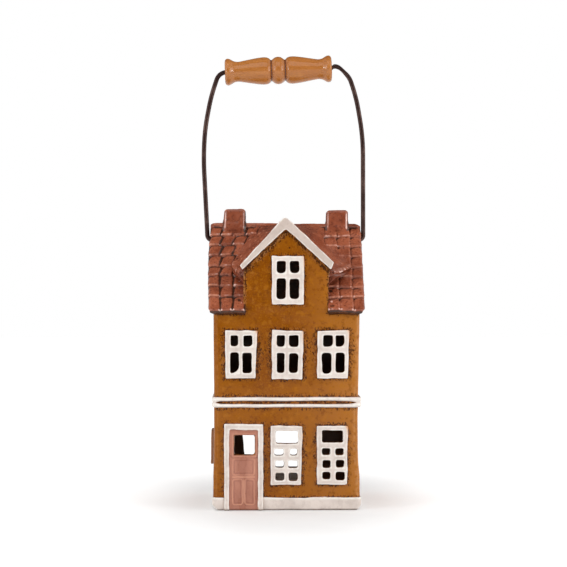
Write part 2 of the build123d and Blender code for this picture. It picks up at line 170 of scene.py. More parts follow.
def merged(meshes):
    bm = bmesh.new()
    for mesh in meshes:
        bm.from_mesh(mesh)
        bpy.data.meshes.remove(mesh)
    mesh = bpy.data.meshes.new("merged")
    bm.to_mesh(mesh)
    bm.free()
    return mesh


def remeshed(mesh, voxel, rounds):
    """The mesh rebuilt in even faces and rubbed smooth, as damp clay is."""
    obj = bpy.data.objects.new("clay", mesh)
    scene.collection.objects.link(obj)
    remesh = obj.modifiers.new("remesh", "REMESH")
    remesh.mode = "VOXEL"
    remesh.voxel_size = voxel
    rub = obj.modifiers.new("rub", "SMOOTH")
    rub.factor = 0.5
    rub.iterations = rounds
    result = bpy.data.meshes.new_from_object(obj.evaluated_get(bpy.context.evaluated_depsgraph_get()))
    bpy.data.objects.remove(obj)
    bpy.data.meshes.remove(mesh)
    return result


def edge_values(mesh, points, normals, rounds, reach):
    """How far each point stands out of its surroundings: 1 on a sharp edge, -1 in a corner."""
    edges = np.empty(len(mesh.edges) * 2, dtype=np.int32)
    mesh.edges.foreach_get("vertices", edges)
    a = edges[0::2]
    b = edges[1::2]
    count = np.bincount(a, minlength=len(points)) + np.bincount(b, minlength=len(points))
    count = np.maximum(count, 1)[:, None]
    soft = points.copy()
    for _ in range(rounds):
        total = np.empty_like(soft)
        for axis in range(3):
            total[:, axis] = np.bincount(a, weights=soft[b, axis], minlength=len(points))
            total[:, axis] += np.bincount(b, weights=soft[a, axis], minlength=len(points))
        soft = 0.4 * soft + 0.6 * total / count
    return np.clip(np.sum((points - soft) * normals, axis=1) / reach, -1, 1)


STREET = Matrix(((1, 0, 0, 0), (0, 0, -1, -HALF_DEPTH), (0, 1, 0, 0), (0, 0, 0, 1)))
LEFT = Matrix(((0, 0, -1, -HALF_WIDTH), (-1, 0, 0, 0), (0, 1, 0, 0), (0, 0, 0, 1)))
RIGHT = Matrix(((0, 0, 1, HALF_WIDTH), (1, 0, 0, 0), (0, 1, 0, 0), (0, 0, 0, 1)))
GARDEN = Matrix(((-1, 0, 0, 0), (0, 0, 1, HALF_DEPTH), (0, 1, 0, 0), (0, 0, 0, 1)))


def clay(
    name, mesh, nodes, voxel=0.5, rounds=4, lump=0.12, lump_size=9.0, shape=None, seed=1, edge_reach=0.25, wear_and_painted_light=None
):
    """A finished clay piece from a mesh in millimetres, standing for CAD nodes of the house."""
    mesh = remeshed(mesh, voxel, rounds)
    mesh.name = name
    mesh.transform(Matrix.Scale(MM, 4))
    mesh.shade_smooth()
    points = points_of(mesh)
    normals = normals_of(mesh)
    if shape:
        points = shape(points)
    push = lump * lumps(points, lump_size, seed) + 0.35 * lump * lumps(points, lump_size / 3, seed + 5)
    points = points + normals * push[:, None]
    edge = edge_values(mesh, points, normals, 8, edge_reach)
    put(mesh, "edge", np.clip(edge + wear_and_painted_light(points), -1, 1) if wear_and_painted_light else edge)
    set_points(mesh, points)
    obj = bpy.data.objects.new(name + "_form", mesh)
    scene.collection.objects.link(obj)
    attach(obj, "house")
    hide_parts(*nodes)
    return obj


# Outlines in millimetres


def rounded_box(x0, y0, x1, y1, radii, step=0.7, wobble=0.2, seed=0):
    """A box with its own radius at each corner, from lower left round against the clock, drawn by hand."""
    corners = [(x0, y0, 1, 1), (x1, y0, -1, 1), (x1, y1, -1, -1), (x0, y1, 1, -1)]
    points = []
    for number, ((x, y, sx, sy), radius) in enumerate(zip(corners, radii)):
        centre = (x + sx * radius, y + sy * radius)
        start = math.pi + number * math.pi / 2
        for turn in range(5):
            angle = start + turn * math.pi / 8
            points.append((centre[0] + radius * math.cos(angle), centre[1] + radius * math.sin(angle)))
    return hand_drawn(points, step, wobble, seed)


def hand_drawn(points, step, wobble, seed):
    """A closed line through points, divided evenly, with the slight waver of a hand."""
    loop = np.array(list(points) + [points[0]], dtype=float)
    runs = np.linalg.norm(np.diff(loop, axis=0), axis=1)
    along = np.concatenate([[0], np.cumsum(runs)])
    count = max(12, int(along[-1] / step))
    at = np.linspace(0, along[-1], count, endpoint=False)
    x = np.interp(at, along, loop[:, 0])
    y = np.interp(at, along, loop[:, 1])
    flat = np.stack([x, y, np.full_like(x, seed * 3.7)], axis=1)
    x = x + wobble * lumps(flat, 4.0, seed + 11)
    y = y + wobble * lumps(flat, 4.0, seed + 29)
    return list(zip(x, y))


def box_distance(x, y, box):
    """Distance outside a box, negative inside it."""
    x0, y0, x1, y1 = box
    dx = np.maximum(x0 - x, x - x1)
    dy = np.maximum(y0 - y, y - y1)
    return np.hypot(np.maximum(dx, 0), np.maximum(dy, 0)) + np.minimum(np.maximum(dx, dy), 0)


def line_distance(x, y, a, b):
    """Distance from a straight run between two points."""
    ax, ay = a
    bx, by = b
    t = ((x - ax) * (bx - ax) + (y - ay) * (by - ay)) / ((bx - ax) ** 2 + (by - ay) ** 2)
    t = np.clip(t, 0, 1)
    return np.hypot(x - ax - t * (bx - ax), y - ay - t * (by - ay))


# Street windows: four outer corners, then each pane's box with its four corner radii
SHORT = (1.6, 1.6, 0.7, 0.7)
TALL = (1.7, 1.7, 1.0, 1.0)
SMALL = (1.2, 1.2, 1.1, 1.1)
WIDE = (1.1, 1.2, 0.8, 0.8)
STREET_WINDOWS = {
    "attic_window": (
        ((-9.0, 123.2), (10.1, 123.3), (10.4, 152.2), (-9.0, 152.4)),
        [
            ((-5.9, 142.2, -0.8, 149.2), (1.9, 1.9, 0.8, 0.9)),
            ((2.0, 142.3, 7.3, 149.2), (2.1, 2.0, 0.8, 0.9)),
            ((-6.0, 126.8, -0.8, 138.9), (1.9, 2.0, 1.0, 1.4)),
            ((1.9, 126.8, 7.3, 138.6), (2.0, 2.0, 1.3, 1.0)),
        ],
    ),
    "upper_window_left": (
        ((-36.8, 79.0), (-18.8, 79.0), (-17.5, 107.6), (-37.0, 107.9)),
        [
            ((-33.5, 98.3, -29.2, 104.6), (1.0, 1.9, 0.7, 0.6)),
            ((-25.8, 98.3, -20.8, 104.6), (1.2, 2.0, 0.7, 0.6)),
            ((-33.8, 82.2, -28.8, 94.4), (0.9, 4.6, 1.6, 1.0)),
            ((-26.4, 82.3, -21.2, 94.3), (1.0, 1.6, 1.0, 1.0)),
        ],
    ),
    "upper_window_centre": (
        ((-8.9, 78.7), (9.3, 78.5), (10.0, 107.4), (-9.0, 108.0)),
        [
            ((-5.9, 98.0, -1.2, 104.7), (1.7, 1.9, 0.6, 0.6)),
            ((1.4, 98.0, 7.0, 104.7), (2.0, 1.5, 0.6, 0.6)),
            ((-5.8, 82.4, -1.5, 94.1), (1.2, 1.4, 1.0, 0.6)),
            ((1.5, 82.4, 6.6, 93.9), (1.8, 1.8, 1.6, 1.2)),
        ],
    ),
    "upper_window_right": (
        ((18.2, 79.0), (36.5, 79.0), (37.5, 107.9), (18.5, 107.6)),
        [
            ((21.9, 98.1, 27.5, 104.7), (1.3, 2.6, 0.7, 0.7)),
            ((29.4, 98.1, 34.5, 104.7), (1.0, 2.8, 0.7, 0.6)),
            ((21.1, 81.9, 26.6, 94.3), (2.2, 2.6, 1.6, 1.9)),
            ((29.4, 82.6, 34.6, 94.3), (1.4, 1.6, 1.6, 1.2)),
        ],
    ),
    "ground_window_centre": (
        ((-9.7, 15.2), (8.6, 15.3), (9.5, 50.5), (-9.6, 50.7)),
        [
            ((-6.5, 40.0, 6.6, 47.3), WIDE),
            ((-7.3, 32.9, -2.0, 36.7), SMALL),
            ((2.0, 32.9, 6.1, 36.6), SMALL),
            ((-6.8, 25.6, -1.8, 29.5), SMALL),
            ((1.0, 25.4, 6.5, 29.6), SMALL),
            ((-6.8, 17.9, -1.6, 22.3), SMALL),
            ((1.2, 17.7, 6.3, 22.3), SMALL),
        ],
    ),
    "ground_window_right": (
        ((18.1, 15.2), (36.2, 15.3), (36.6, 50.5), (18.0, 50.7)),
        [
            ((21.2, 40.6, 33.7, 47.7), WIDE),
            ((21.3, 33.0, 26.1, 36.9), SMALL),
            ((29.3, 33.0, 34.1, 36.9), SMALL),
            ((21.5, 25.5, 26.2, 29.9), SMALL),
            ((29.6, 25.5, 34.3, 29.9), SMALL),
            ((21.4, 18.6, 26.0, 22.7), SMALL),
            ((29.4, 18.0, 34.7, 22.9), SMALL),
        ],
    ),
}
DOOR_BOX = (-37.6, 0.0, -14.1, 51.8)
LEAF_BOX = (-34.6, 0.0, -17.2, 48.3)
DOOR_LIGHT = ((-31.6, 33.1, -19.1, 44.9), (1.1, 1.4, 0.7, 0.8))
SIDE_BOX = (-0.4, 25.0, 18.4, 45.6)
SIDE_PANES = [
    ((2.6, 27.6, 7.6, 35.2), TALL),
    ((10.4, 27.6, 15.4, 35.2), TALL),
    ((2.6, 38.0, 7.6, 42.4), SHORT),
    ((10.4, 38.0, 15.4, 42.4), SHORT),
]


def pane_loops(panes, seed, grow=0.0):
    """Hand-cut panes as loops."""
    loops = []
    for number, ((x0, y0, x1, y1), radii) in enumerate(panes):
        box = (x0 - grow, y0 - grow, x1 + grow, y1 + grow)
        loops.append(rounded_box(*box, radii, step=0.5, wobble=0.16, seed=seed + number))
    return loops


# Materials


def linear(r, g, b):
    """A colour given as the eye sees it, 0 to 255, as Blender wants it."""
    return tuple(((c / 255) / 12.92 if c <= 10 else ((c / 255 + 0.055) / 1.055) ** 2.4) for c in (r, g, b)) + (1,)


class Shader:
    """A few shortcuts for one material's nodes."""

    def __init__(self, name):
        self.material = bpy.data.materials.new(name)
        self.material.use_nodes = True
        self.nodes = self.material.node_tree.nodes
        self.links = self.material.node_tree.links
        self.base = self.nodes["Principled BSDF"]
        self.place = self.nodes.new("ShaderNodeTexCoord").outputs["Object"]

    def link(self, source, socket):
        self.links.new(source, socket)

    def value(self, socket, value):
        if isinstance(value, bpy.types.NodeSocket):
            self.link(value, socket)
        else:
            socket.default_value = value

    def noise(self, size_mm, detail=2.0, roughness=0.5, stretch=(1, 1, 1), distortion=0.0):
        place = self.place
        if stretch != (1, 1, 1):
            mapping = self.nodes.new("ShaderNodeMapping")
            mapping.inputs["Scale"].default_value = stretch
            self.link(place, mapping.inputs["Vector"])
            place = mapping.outputs["Vector"]
        node = self.nodes.new("ShaderNodeTexNoise")
        node.inputs["Scale"].default_value = 1 / (size_mm * MM)
        node.inputs["Detail"].default_value = detail
        node.inputs["Roughness"].default_value = roughness
        node.inputs["Distortion"].default_value = distortion
        self.link(place, node.inputs["Vector"])
        return node.outputs["Fac"]

    def attribute(self, name):
        node = self.nodes.new("ShaderNodeAttribute")
        node.attribute_name = name
        return node.outputs["Fac"]

    def math(self, operation, a, b=0.0, clamp=False):
        node = self.nodes.new("ShaderNodeMath")
        node.operation = operation
        node.use_clamp = clamp
        self.value(node.inputs[0], a)
        self.value(node.inputs[1], b)
        return node.outputs[0]

    def ramp(self, source, low, high, out_low=0.0, out_high=1.0):
        """Source from low to high, as a smooth step."""
        node = self.nodes.new("ShaderNodeMapRange")
        node.interpolation_type = "SMOOTHSTEP"
        node.inputs["From Min"].default_value = low
        node.inputs["From Max"].default_value = high
        node.inputs["To Min"].default_value = out_low
        node.inputs["To Max"].default_value = out_high
        self.link(source, node.inputs["Value"])
        return node.outputs["Result"]

    def mix(self, factor, a, b):
        node = self.nodes.new("ShaderNodeMix")
        node.data_type = "RGBA"
        self.value(node.inputs["Factor"], factor)
        self.value(node.inputs[6], a)
        self.value(node.inputs[7], b)
        return node.outputs[2]

    def bump(self, height, distance_mm, strength=1.0, normal=None):
        node = self.nodes.new("ShaderNodeBump")
        node.inputs["Strength"].default_value = strength
        node.inputs["Distance"].default_value = distance_mm * MM
        self.link(height, node.inputs["Height"])
        if normal:
            self.link(normal, node.inputs["Normal"])
        return node.outputs["Normal"]

    def finish(self, colour, roughness, normal=None, metallic=0.0, specular=0.5):
        self.value(self.base.inputs["Base Color"], colour)
        self.value(self.base.inputs["Roughness"], roughness)
        self.base.inputs["Metallic"].default_value = metallic
        self.base.inputs["Specular IOR Level"].default_value = specular
        if normal:
            self.link(normal, self.base.inputs["Normal"])
        return self.material


def ochre_glaze():
    """Runny amber glaze, thin and bright on edges, with a painted highlight on the rounded corners, dark and speckled
    where it pools beside relief.
    """
    s = Shader("ochre_glaze")
    drift = s.noise(24, detail=4, stretch=(1, 1, 0.6))
    colour = s.mix(s.ramp(drift, 0.36, 0.64), linear(139, 75, 5), linear(154, 88, 10))
    height = s.nodes.new("ShaderNodeSeparateXYZ")
    s.link(s.place, height.inputs[0])
    colour = s.mix(s.ramp(height.outputs["X"], -0.004, 0.043, 0, 0.75), colour, linear(186, 118, 48))
    low = s.math("MULTIPLY", s.ramp(height.outputs["Z"], 0.075, 0.03), s.ramp(s.noise(14, detail=3), 0.35, 0.65))
    colour = s.mix(s.math("MULTIPLY", low, 0.3), colour, linear(158, 92, 14))
    fine = s.noise(1.0, detail=3)
    colour = s.mix(s.ramp(fine, 0.48, 0.72, 0, 0.7), colour, linear(170, 102, 12))
    colour = s.mix(s.ramp(s.noise(2.4, detail=4), 0.52, 0.7, 0, 0.6), colour, linear(120, 63, 8))
    colour = s.mix(s.ramp(s.noise(3.6, detail=3), 0.54, 0.7, 0, 0.5), colour, linear(178, 110, 26))
    edge = s.attribute("edge")
    bright = s.math("MULTIPLY", s.ramp(edge, 0.1, 0.75), s.ramp(s.noise(3, detail=2), 0.3, 0.6))
    colour = s.mix(s.math("MULTIPLY", bright, 0.75), colour, linear(204, 142, 84))
    pool = s.attribute("pool")
    patches = s.ramp(s.noise(7, detail=2), 0.36, 0.6, 0.4, 1.0)
    fringe = s.math("MULTIPLY", s.ramp(pool, 0.2, 0.9), s.ramp(s.noise(1.6, detail=3), 0.48, 0.62))
    colour = s.mix(s.math("MULTIPLY", fringe, 0.75), colour, linear(180, 114, 58))
    halo = s.math("MULTIPLY", s.ramp(pool, 0.35, 1.0), patches)
    colour = s.mix(s.math("MULTIPLY", halo, 0.32), colour, linear(100, 55, 20))
    grains = s.noise(0.85, detail=2, roughness=0.6, stretch=(1, 1, 0.6), distortion=0.6)
    speck = s.math("ADD", grains, s.math("MULTIPLY", s.math("MULTIPLY", pool, patches), 0.19))
    dark = s.math("MULTIPLY", s.ramp(speck, 0.6, 0.67), s.ramp(pool, 0.02, 0.25))
    colour = s.mix(s.math("MULTIPLY", dark, 0.85), colour, linear(58, 26, 10))
    colour = s.mix(s.attribute("inner"), colour, s.mix(s.attribute("pale"), linear(84, 56, 42), linear(226, 208, 192)))
    rise = s.math("ADD", s.math("MULTIPLY", fine, 0.3), s.noise(5, detail=3))
    rough = s.ramp(s.noise(6, detail=3), 0.3, 0.7, 0.12, 0.22)
    return s.finish(colour, rough, s.bump(rise, 0.3, 0.3), specular=0.16)


def roof_glaze():
    """Brick red glaze that thins to pale orange on every edge and pools dark in the joints, with painted highlights and
    glints on the tile lips and edges, and painted shade under the lips, on undersides and end faces, and over the left
    chimney and the gable's smooth roof.
    """
    s = Shader("roof_glaze")
    drift = s.noise(12, detail=3)
    colour = s.mix(s.ramp(drift, 0.35, 0.65), linear(141, 71, 46), linear(173, 96, 66))
    colour = s.mix(s.ramp(s.noise(1.3, detail=4), 0.48, 0.7, 0, 0.7), colour, linear(100, 49, 35))
    colour = s.mix(s.ramp(s.noise(1.1, detail=3), 0.56, 0.74, 0, 0.4), colour, linear(200, 122, 90))
    # Painted shade: darker on the left chimney and on the gable's smooth roof
    colour = s.mix(s.math("MULTIPLY", s.attribute("dull_and_shade"), 0.4), colour, linear(104, 52, 36))
    edge = s.attribute("edge")
    # Pale orange on edges and tile lips: thin glaze and painted highlights
    wear_and_painted_light = s.ramp(s.noise(2.2, detail=3), 0.3, 0.62)
    bright = s.math("MULTIPLY", s.ramp(edge, 0.2, 0.85), wear_and_painted_light)
    colour = s.mix(s.math("MULTIPLY", bright, 0.85), colour, linear(210, 140, 110))
    # Dark in the joints, with painted shade under the tile lips and in the pits beneath them
    pooling_and_shade = s.math("MULTIPLY", s.ramp(s.math("MULTIPLY", edge, -1.0), 0.2, 0.8), s.ramp(s.noise(4, detail=2), 0.3, 0.6))
    colour = s.mix(s.math("MULTIPLY", pooling_and_shade, 0.85), colour, linear(64, 27, 15))
    # Painted shade: darkest on undersides, eave end faces and chimney rims
    deep_shade = s.ramp(s.math("MULTIPLY", edge, -1.0), 0.84, 0.9)
    colour = s.mix(s.math("MULTIPLY", deep_shade, 0.8), colour, linear(62, 40, 28))
    # Painted glints
    colour = s.mix(s.ramp(s.attribute("glint"), 0.2, 0.95, 0, 0.85), colour, linear(243, 202, 188))
    height = s.math("ADD", s.math("MULTIPLY", s.noise(0.9, detail=3), 0.35), s.noise(3.2, detail=3))
    rough = s.ramp(s.noise(5, detail=3), 0.3, 0.7, 0.1, 0.24)
    return s.finish(colour, rough, s.bump(height, 0.3, 0.4), specular=0.4)


def white_glaze():
    """Creamy white glaze, warmer where it is thin, with the wall's amber creeping up its sides, a painted highlight
    along rims and edges, and dark at the foot as a painted contact shadow.
    """
    s = Shader("white_glaze")
    drift = s.noise(8, detail=3)
    colour = s.mix(s.ramp(drift, 0.35, 0.68), linear(221, 207, 198), linear(236, 223, 214))
    colour = s.mix(s.ramp(s.noise(1.4, detail=4), 0.55, 0.8, 0, 0.35), colour, linear(205, 186, 168))
    # Greyer where marked: the gable trim
    colour = s.mix(s.math("MULTIPLY", s.attribute("dull_and_shade"), 0.55), colour, linear(196, 176, 163))
    edge = s.attribute("edge")
    # Painted highlight along rims and convex edges
    rim = s.math("MAXIMUM", s.math("MULTIPLY", s.attribute("rim"), 0.95), s.ramp(edge, 0.2, 0.8, 0, 0.8))
    colour = s.mix(s.math("MULTIPLY", rim, s.ramp(s.noise(5, detail=2), 0.3, 0.55, 0.4, 1.0)), colour, linear(252, 246, 238))
    thin = s.math("MULTIPLY", s.ramp(edge, 0.45, 1.0), s.ramp(s.noise(3.5, detail=2), 0.52, 0.66))
    colour = s.mix(s.math("MULTIPLY", thin, 0.6), colour, linear(208, 148, 86))
    colour = s.mix(s.math("MULTIPLY", s.attribute("amber"), 1.0), colour, linear(222, 158, 92))
    foot = s.math("ADD", s.attribute("foot"), s.math("MULTIPLY_ADD", s.noise(1.6, detail=3), 0.7))
    creep = s.ramp(foot, 1.05, 1.3)
    colour = s.mix(s.math("MULTIPLY", creep, 0.9), colour, linear(150, 90, 32))
    # Dark at the foot: bare clay, painted as contact shadow
    colour = s.mix(s.attribute("base"), colour, linear(122, 106, 96))
    grains = s.ramp(s.noise(0.8, detail=2), 0.72, 0.78)
    colour = s.mix(s.math("MULTIPLY", grains, 0.35), colour, linear(150, 112, 84))
    height = s.math("ADD", s.math("MULTIPLY", s.noise(0.9, detail=2), 0.3), s.noise(3.0, detail=3))
    rough = s.ramp(s.noise(4, detail=2), 0.3, 0.7, 0.22, 0.38)
    return s.finish(colour, rough, s.bump(height, 0.25, 0.5), specular=0.4)


def door_glaze():
    """Dusty pink glaze that breaks paler on the ridges of the panels, with a painted highlight there, painted shade
    beside the panels and along the frame, and dark at the foot as a painted contact shadow.
    """
    s = Shader("door_glaze")
    drift = s.noise(9, detail=3, stretch=(1, 1, 0.5))
    colour = s.mix(s.ramp(drift, 0.35, 0.65), linear(174, 113, 92), linear(194, 132, 110))
    colour = s.mix(s.ramp(s.noise(1.2, detail=4), 0.55, 0.8, 0, 0.5), colour, linear(150, 92, 76))
    edge = s.attribute("edge")
    colour = s.mix(s.ramp(edge, 0.15, 0.8, 0, 0.9), colour, linear(222, 160, 132))
    colour = s.mix(s.ramp(s.math("MULTIPLY", edge, -1.0), 0.15, 0.8, 0, 0.7), colour, linear(124, 68, 58))
    # Dark at the foot: bare clay, painted as contact shadow
    colour = s.mix(s.attribute("base"), colour, linear(98, 60, 50))
    height = s.math("ADD", s.math("MULTIPLY", s.noise(0.8, detail=3), 0.4), s.noise(3.0, detail=3))
    return s.finish(colour, s.ramp(drift, 0.3, 0.7, 0.25, 0.4), s.bump(height, 0.3, 0.5), specular=0.4)


def bare_clay():
    """Unglazed fired clay with fine grog."""
    s = Shader("bare_clay")
    grain = s.noise(0.7, detail=4, roughness=0.7)
    colour = s.mix(s.ramp(grain, 0.35, 0.7), linear(222, 206, 190), linear(236, 222, 208))
    colour = s.mix(s.ramp(s.noise(14, detail=3), 0.4, 0.7, 0, 0.6), colour, linear(208, 188, 168))
    return s.finish(colour, s.ramp(grain, 0.3, 0.7, 0.7, 0.9), s.bump(grain, 0.3, 0.6), specular=0.3)


def dark_wire():
    """Drawn steel wire with a dark brown oxide, rubbed brighter here and there."""
    s = Shader("dark_wire")
    rub = s.noise(9, detail=4)
    colour = s.mix(s.ramp(rub, 0.4, 0.7), linear(58, 41, 37), linear(86, 66, 60))
    fine = s.noise(0.5, detail=3, roughness=0.7)
    colour = s.mix(s.ramp(fine, 0.5, 0.75, 0, 0.6), colour, linear(40, 29, 26))
    return s.finish(colour, s.ramp(fine, 0.3, 0.7, 0.3, 0.48), s.bump(fine, 0.06, 0.5), metallic=0.85)


def turned_wood():
    """Waxed beech: long grain with short flecks, darker in the turned grooves and on the end grain."""
    s = Shader("turned_wood")
    grain = s.noise(1.5, detail=5, roughness=0.6, stretch=(0.06, 1, 1), distortion=0.4)
    colour = s.mix(s.ramp(grain, 0.32, 0.68), linear(175, 108, 50), linear(190, 122, 60))
    fleck = s.noise(0.55, detail=2, stretch=(0.12, 1, 1))
    colour = s.mix(s.ramp(fleck, 0.62, 0.74, 0, 0.28), colour, linear(136, 78, 38))
    colour = s.mix(s.ramp(s.noise(18, detail=2), 0.4, 0.7, 0, 0.4), colour, linear(176, 106, 50))
    dark = s.attribute("burn")
    colour = s.mix(s.math("MULTIPLY", dark, 0.95), colour, linear(84, 30, 14))
    height = s.math("ADD", grain, s.math("MULTIPLY", fleck, -0.6))
    rough = s.ramp(grain, 0.3, 0.7, 0.12, 0.17)
    return s.finish(colour, rough, s.bump(height, 0.03, 0.3), specular=0.4)


def cup_foil():
    s = Shader("cup_foil")
    streak = s.noise(1.2, detail=4, stretch=(1, 1, 0.15))
    colour = s.mix(s.ramp(streak, 0.3, 0.7), linear(236, 239, 244), linear(246, 249, 253))
    return s.finish(colour, s.ramp(streak, 0.3, 0.7, 0.85, 1.0), s.bump(streak, 0.05, 0.5), metallic=1.0)


def candle_wax():
    s = Shader("candle_wax")
    cloud = s.noise(6, detail=4)
    colour = s.mix(s.ramp(cloud, 0.35, 0.7), linear(238, 234, 222), linear(226, 219, 200))
    s.base.inputs["Subsurface Weight"].default_value = 0.25
    s.base.inputs["Subsurface Radius"].default_value = (1.0, 0.8, 0.6)
    s.base.inputs["Subsurface Scale"].default_value = 0.003
    return s.finish(colour, s.ramp(cloud, 0.3, 0.7, 0.4, 0.55), s.bump(s.noise(2.5, detail=3), 0.12, 0.5))


def cotton_wick():
    s = Shader("cotton_wick")
    wave_node = s.nodes.new("ShaderNodeTexWave")
    wave_node.bands_direction = "DIAGONAL"
    wave_node.inputs["Scale"].default_value = 900
    wave_node.inputs["Distortion"].default_value = 2.0
    s.link(s.place, wave_node.inputs["Vector"])
    braid = wave_node.outputs["Fac"]
    colour = s.mix(braid, linear(206, 196, 172), linear(238, 232, 214))
    return s.finish(colour, s.ramp(braid, 0.2, 0.8, 0.75, 0.9), s.bump(braid, 0.12, 0.8))


def tinned_steel():
    s = Shader("tinned_steel")
    cloud = s.noise(1.5, detail=4)
    colour = s.mix(s.ramp(cloud, 0.3, 0.7), linear(160, 160, 162), linear(200, 200, 202))
    return s.finish(colour, s.ramp(cloud, 0.3, 0.7, 0.3, 0.45), s.bump(cloud, 0.03, 0.5), metallic=1.0)


OCHRE = ochre_glaze()
ROOF = roof_glaze()
WHITE = white_glaze()
PINK = door_glaze()
CLAY = bare_clay()
WIRE = dark_wire()
WOOD = turned_wood()
FOIL = cup_foil()
WAX = candle_wax()
WICK = cotton_wick()
TIN = tinned_steel()


def dress(obj, material):
    obj.data.materials.clear()
    obj.data.materials.append(material)


# Walls


def beside_box(x, z, box, above, beside, below):
    """Falls from 1 at the edge of a box to 0 at its own reach above, beside and below it."""
    x0, z0, x1, z1 = box
    lower = np.clip((z1 - z) / (z1 - z0), 0, 1)
    reach = np.where(z > z1, above, np.where(z < z0, below, beside * (0.45 + 0.55 * np.sin(np.pi * lower**0.7))))
    return np.clip(1 - np.maximum(box_distance(x, z, box), 0) / reach, 0, 1)


def pool_on_street(points):
    """How close each point of the street wall is to relief, where dark glaze pools."""
    x = points[:, 0]
    z = points[:, 2]
    pool = 0.8 * beside_box(x, z, DOOR_BOX, 2.6, 3.2, 1.0)
    for name, (corners, _) in STREET_WINDOWS.items():
        xs, zs = zip(*corners)
        side = {"a": 2.2, "u": 5.0, "g": 3.6}[name[0]]
        pool = np.maximum(pool, beside_box(x, z, (min(xs), min(zs), max(xs), max(zs)), 2.4, side, 2.2))
    pool = np.maximum(pool, np.clip(1 - (np.abs(z - BAND_MIDDLE) - 3.1) / 2.6, 0, 1))
    pool = np.maximum(pool, np.clip(1 - (z - 7.8) / 1.4, 0, 1))
    for side in (-1, 1):
        foot = (side * (GABLE_SPAN - 3.4), GABLE_FOOT - 3.4)
        trim = line_distance(x, z, (0, GABLE_APEX - 7.0), foot)
        pool = np.maximum(pool, 1.3 * np.clip(1 - trim / (3.4 - 0.6 * side), 0, 1))
        eaves = line_distance(x, z, (side * 25.0, 118.0), (side * 46.0, 118.0))
        cheek = line_distance(x, z, (side * 25.0, 118.0), (side * 25.0, 146.0))
        pool = np.maximum(pool, np.clip(1 - np.minimum(eaves / 2.0, cheek / 1.6), 0, 1))
    pit = np.exp(-(((x - 1.4) / 1.2) ** 2) - ((z - 157.4) / 0.6) ** 2)
    return np.clip(np.maximum(pool, pit), 0, 1)


def round_uprights(points, proud=0.0):
    """Rounds the house's four upright corners."""
    radius = 2.6
    wide = HALF_WIDTH + proud
    deep = HALF_DEPTH + proud
    out = points.copy()
    dx = np.abs(points[:, 0]) - (wide - radius)
    dy = np.abs(points[:, 1]) - (deep - radius)
    both = (dx > 0) & (dy > 0)
    length = np.hypot(dx, dy)
    scale = np.where(both & (length > radius), radius / np.maximum(length, 1e-6), 1.0)
    out[:, 0] = np.where(both, np.sign(points[:, 0]) * (wide - radius + dx * scale), points[:, 0])
    out[:, 1] = np.where(both, np.sign(points[:, 1]) * (deep - radius + dy * scale), points[:, 1])
    return out


BOW_HEIGHTS = (0, 20, 28, 36, 54, 75, 100, 118)
RIGHT_BOW = (0.1, 0.0, -0.8, -1.1, -1.2, -0.8, -0.3, 0.0)
LEFT_BOW = (-0.25, -0.2, 0.1, 0.2, 0.3, 0.3, 0.0, 0.0)


def drawn_foot(points):
    """How far the foot of the house is drawn in at each point, further on the left than on the right."""
    left = points[:, 0] < 0
    low = np.clip(1 - points[:, 2] / 3.6, 0, 1)
    return np.where(left, 3.4, 2.6) * low ** np.where(left, 1.4, 1.8)


def bare_foot_shadow(points):
    """1 along the foot, where the glaze was wiped off before firing, coloured dark as a painted contact shadow."""
    return 0.8 * np.clip((1.05 + 0.15 * wave(points[:, 0], 3, 165) - points[:, 2]) / 0.6, 0, 1)


def bowed(points):
    """The slight bow that the side walls took in the kiln."""
    out = points.copy()
    reach = np.clip((np.abs(points[:, 0]) - 37.0) / 4.0, 0, 1)
    bow = np.where(
        points[:, 0] > 0,
        np.interp(points[:, 2], BOW_HEIGHTS, RIGHT_BOW),
        np.interp(points[:, 2], BOW_HEIGHTS, LEFT_BOW),
    )
    out[:, 0] += reach * bow
    return out


def wall_shape(points):
    """Rounded corners, the bow, and the foot drawn in behind the plinth."""
    out = bowed(round_uprights(points))
    out[:, 0] -= np.sign(points[:, 0]) * 1.1 * drawn_foot(points) * np.clip((np.abs(points[:, 0]) - 36.0) / 7.0, 0, 1)
    return out


def side_frame_shape(points):
    """The bow, with both frames a little to the left."""
    return bowed(points) - np.array([0.5, 0, 0])


def pale_corners(points):
    """Paler along the upright corners, thin glaze with a painted highlight on their rounding; paler also on the right
    strip and under the left board of the gable.
    """
    on_street = np.abs(points[:, 1]) > HALF_DEPTH - 1.6
    x = points[:, 0]
    z = points[:, 2]
    # Painted highlight on the rounding of the corners, with thin glaze
    wear_and_painted_light = np.where(x < 0, 0.15, 0.7) * np.exp(-(((np.abs(x) - HALF_WIDTH + 1.2) / 0.45) ** 2))
    wear_and_painted_light += 0.22 * np.clip((x - 37.6) / 1.5, 0, 1) * np.clip((112 - z) / 8, 0, 1) * (x < HALF_WIDTH - 0.8)
    under_trim = line_distance(x, z, (-1.0, GABLE_APEX - 8.0), (-26.0, GABLE_FOOT - 4.0))
    wear_and_painted_light += 0.9 * np.exp(-(((under_trim - 1.0) / 0.8) ** 2))
    return on_street * wear_and_painted_light


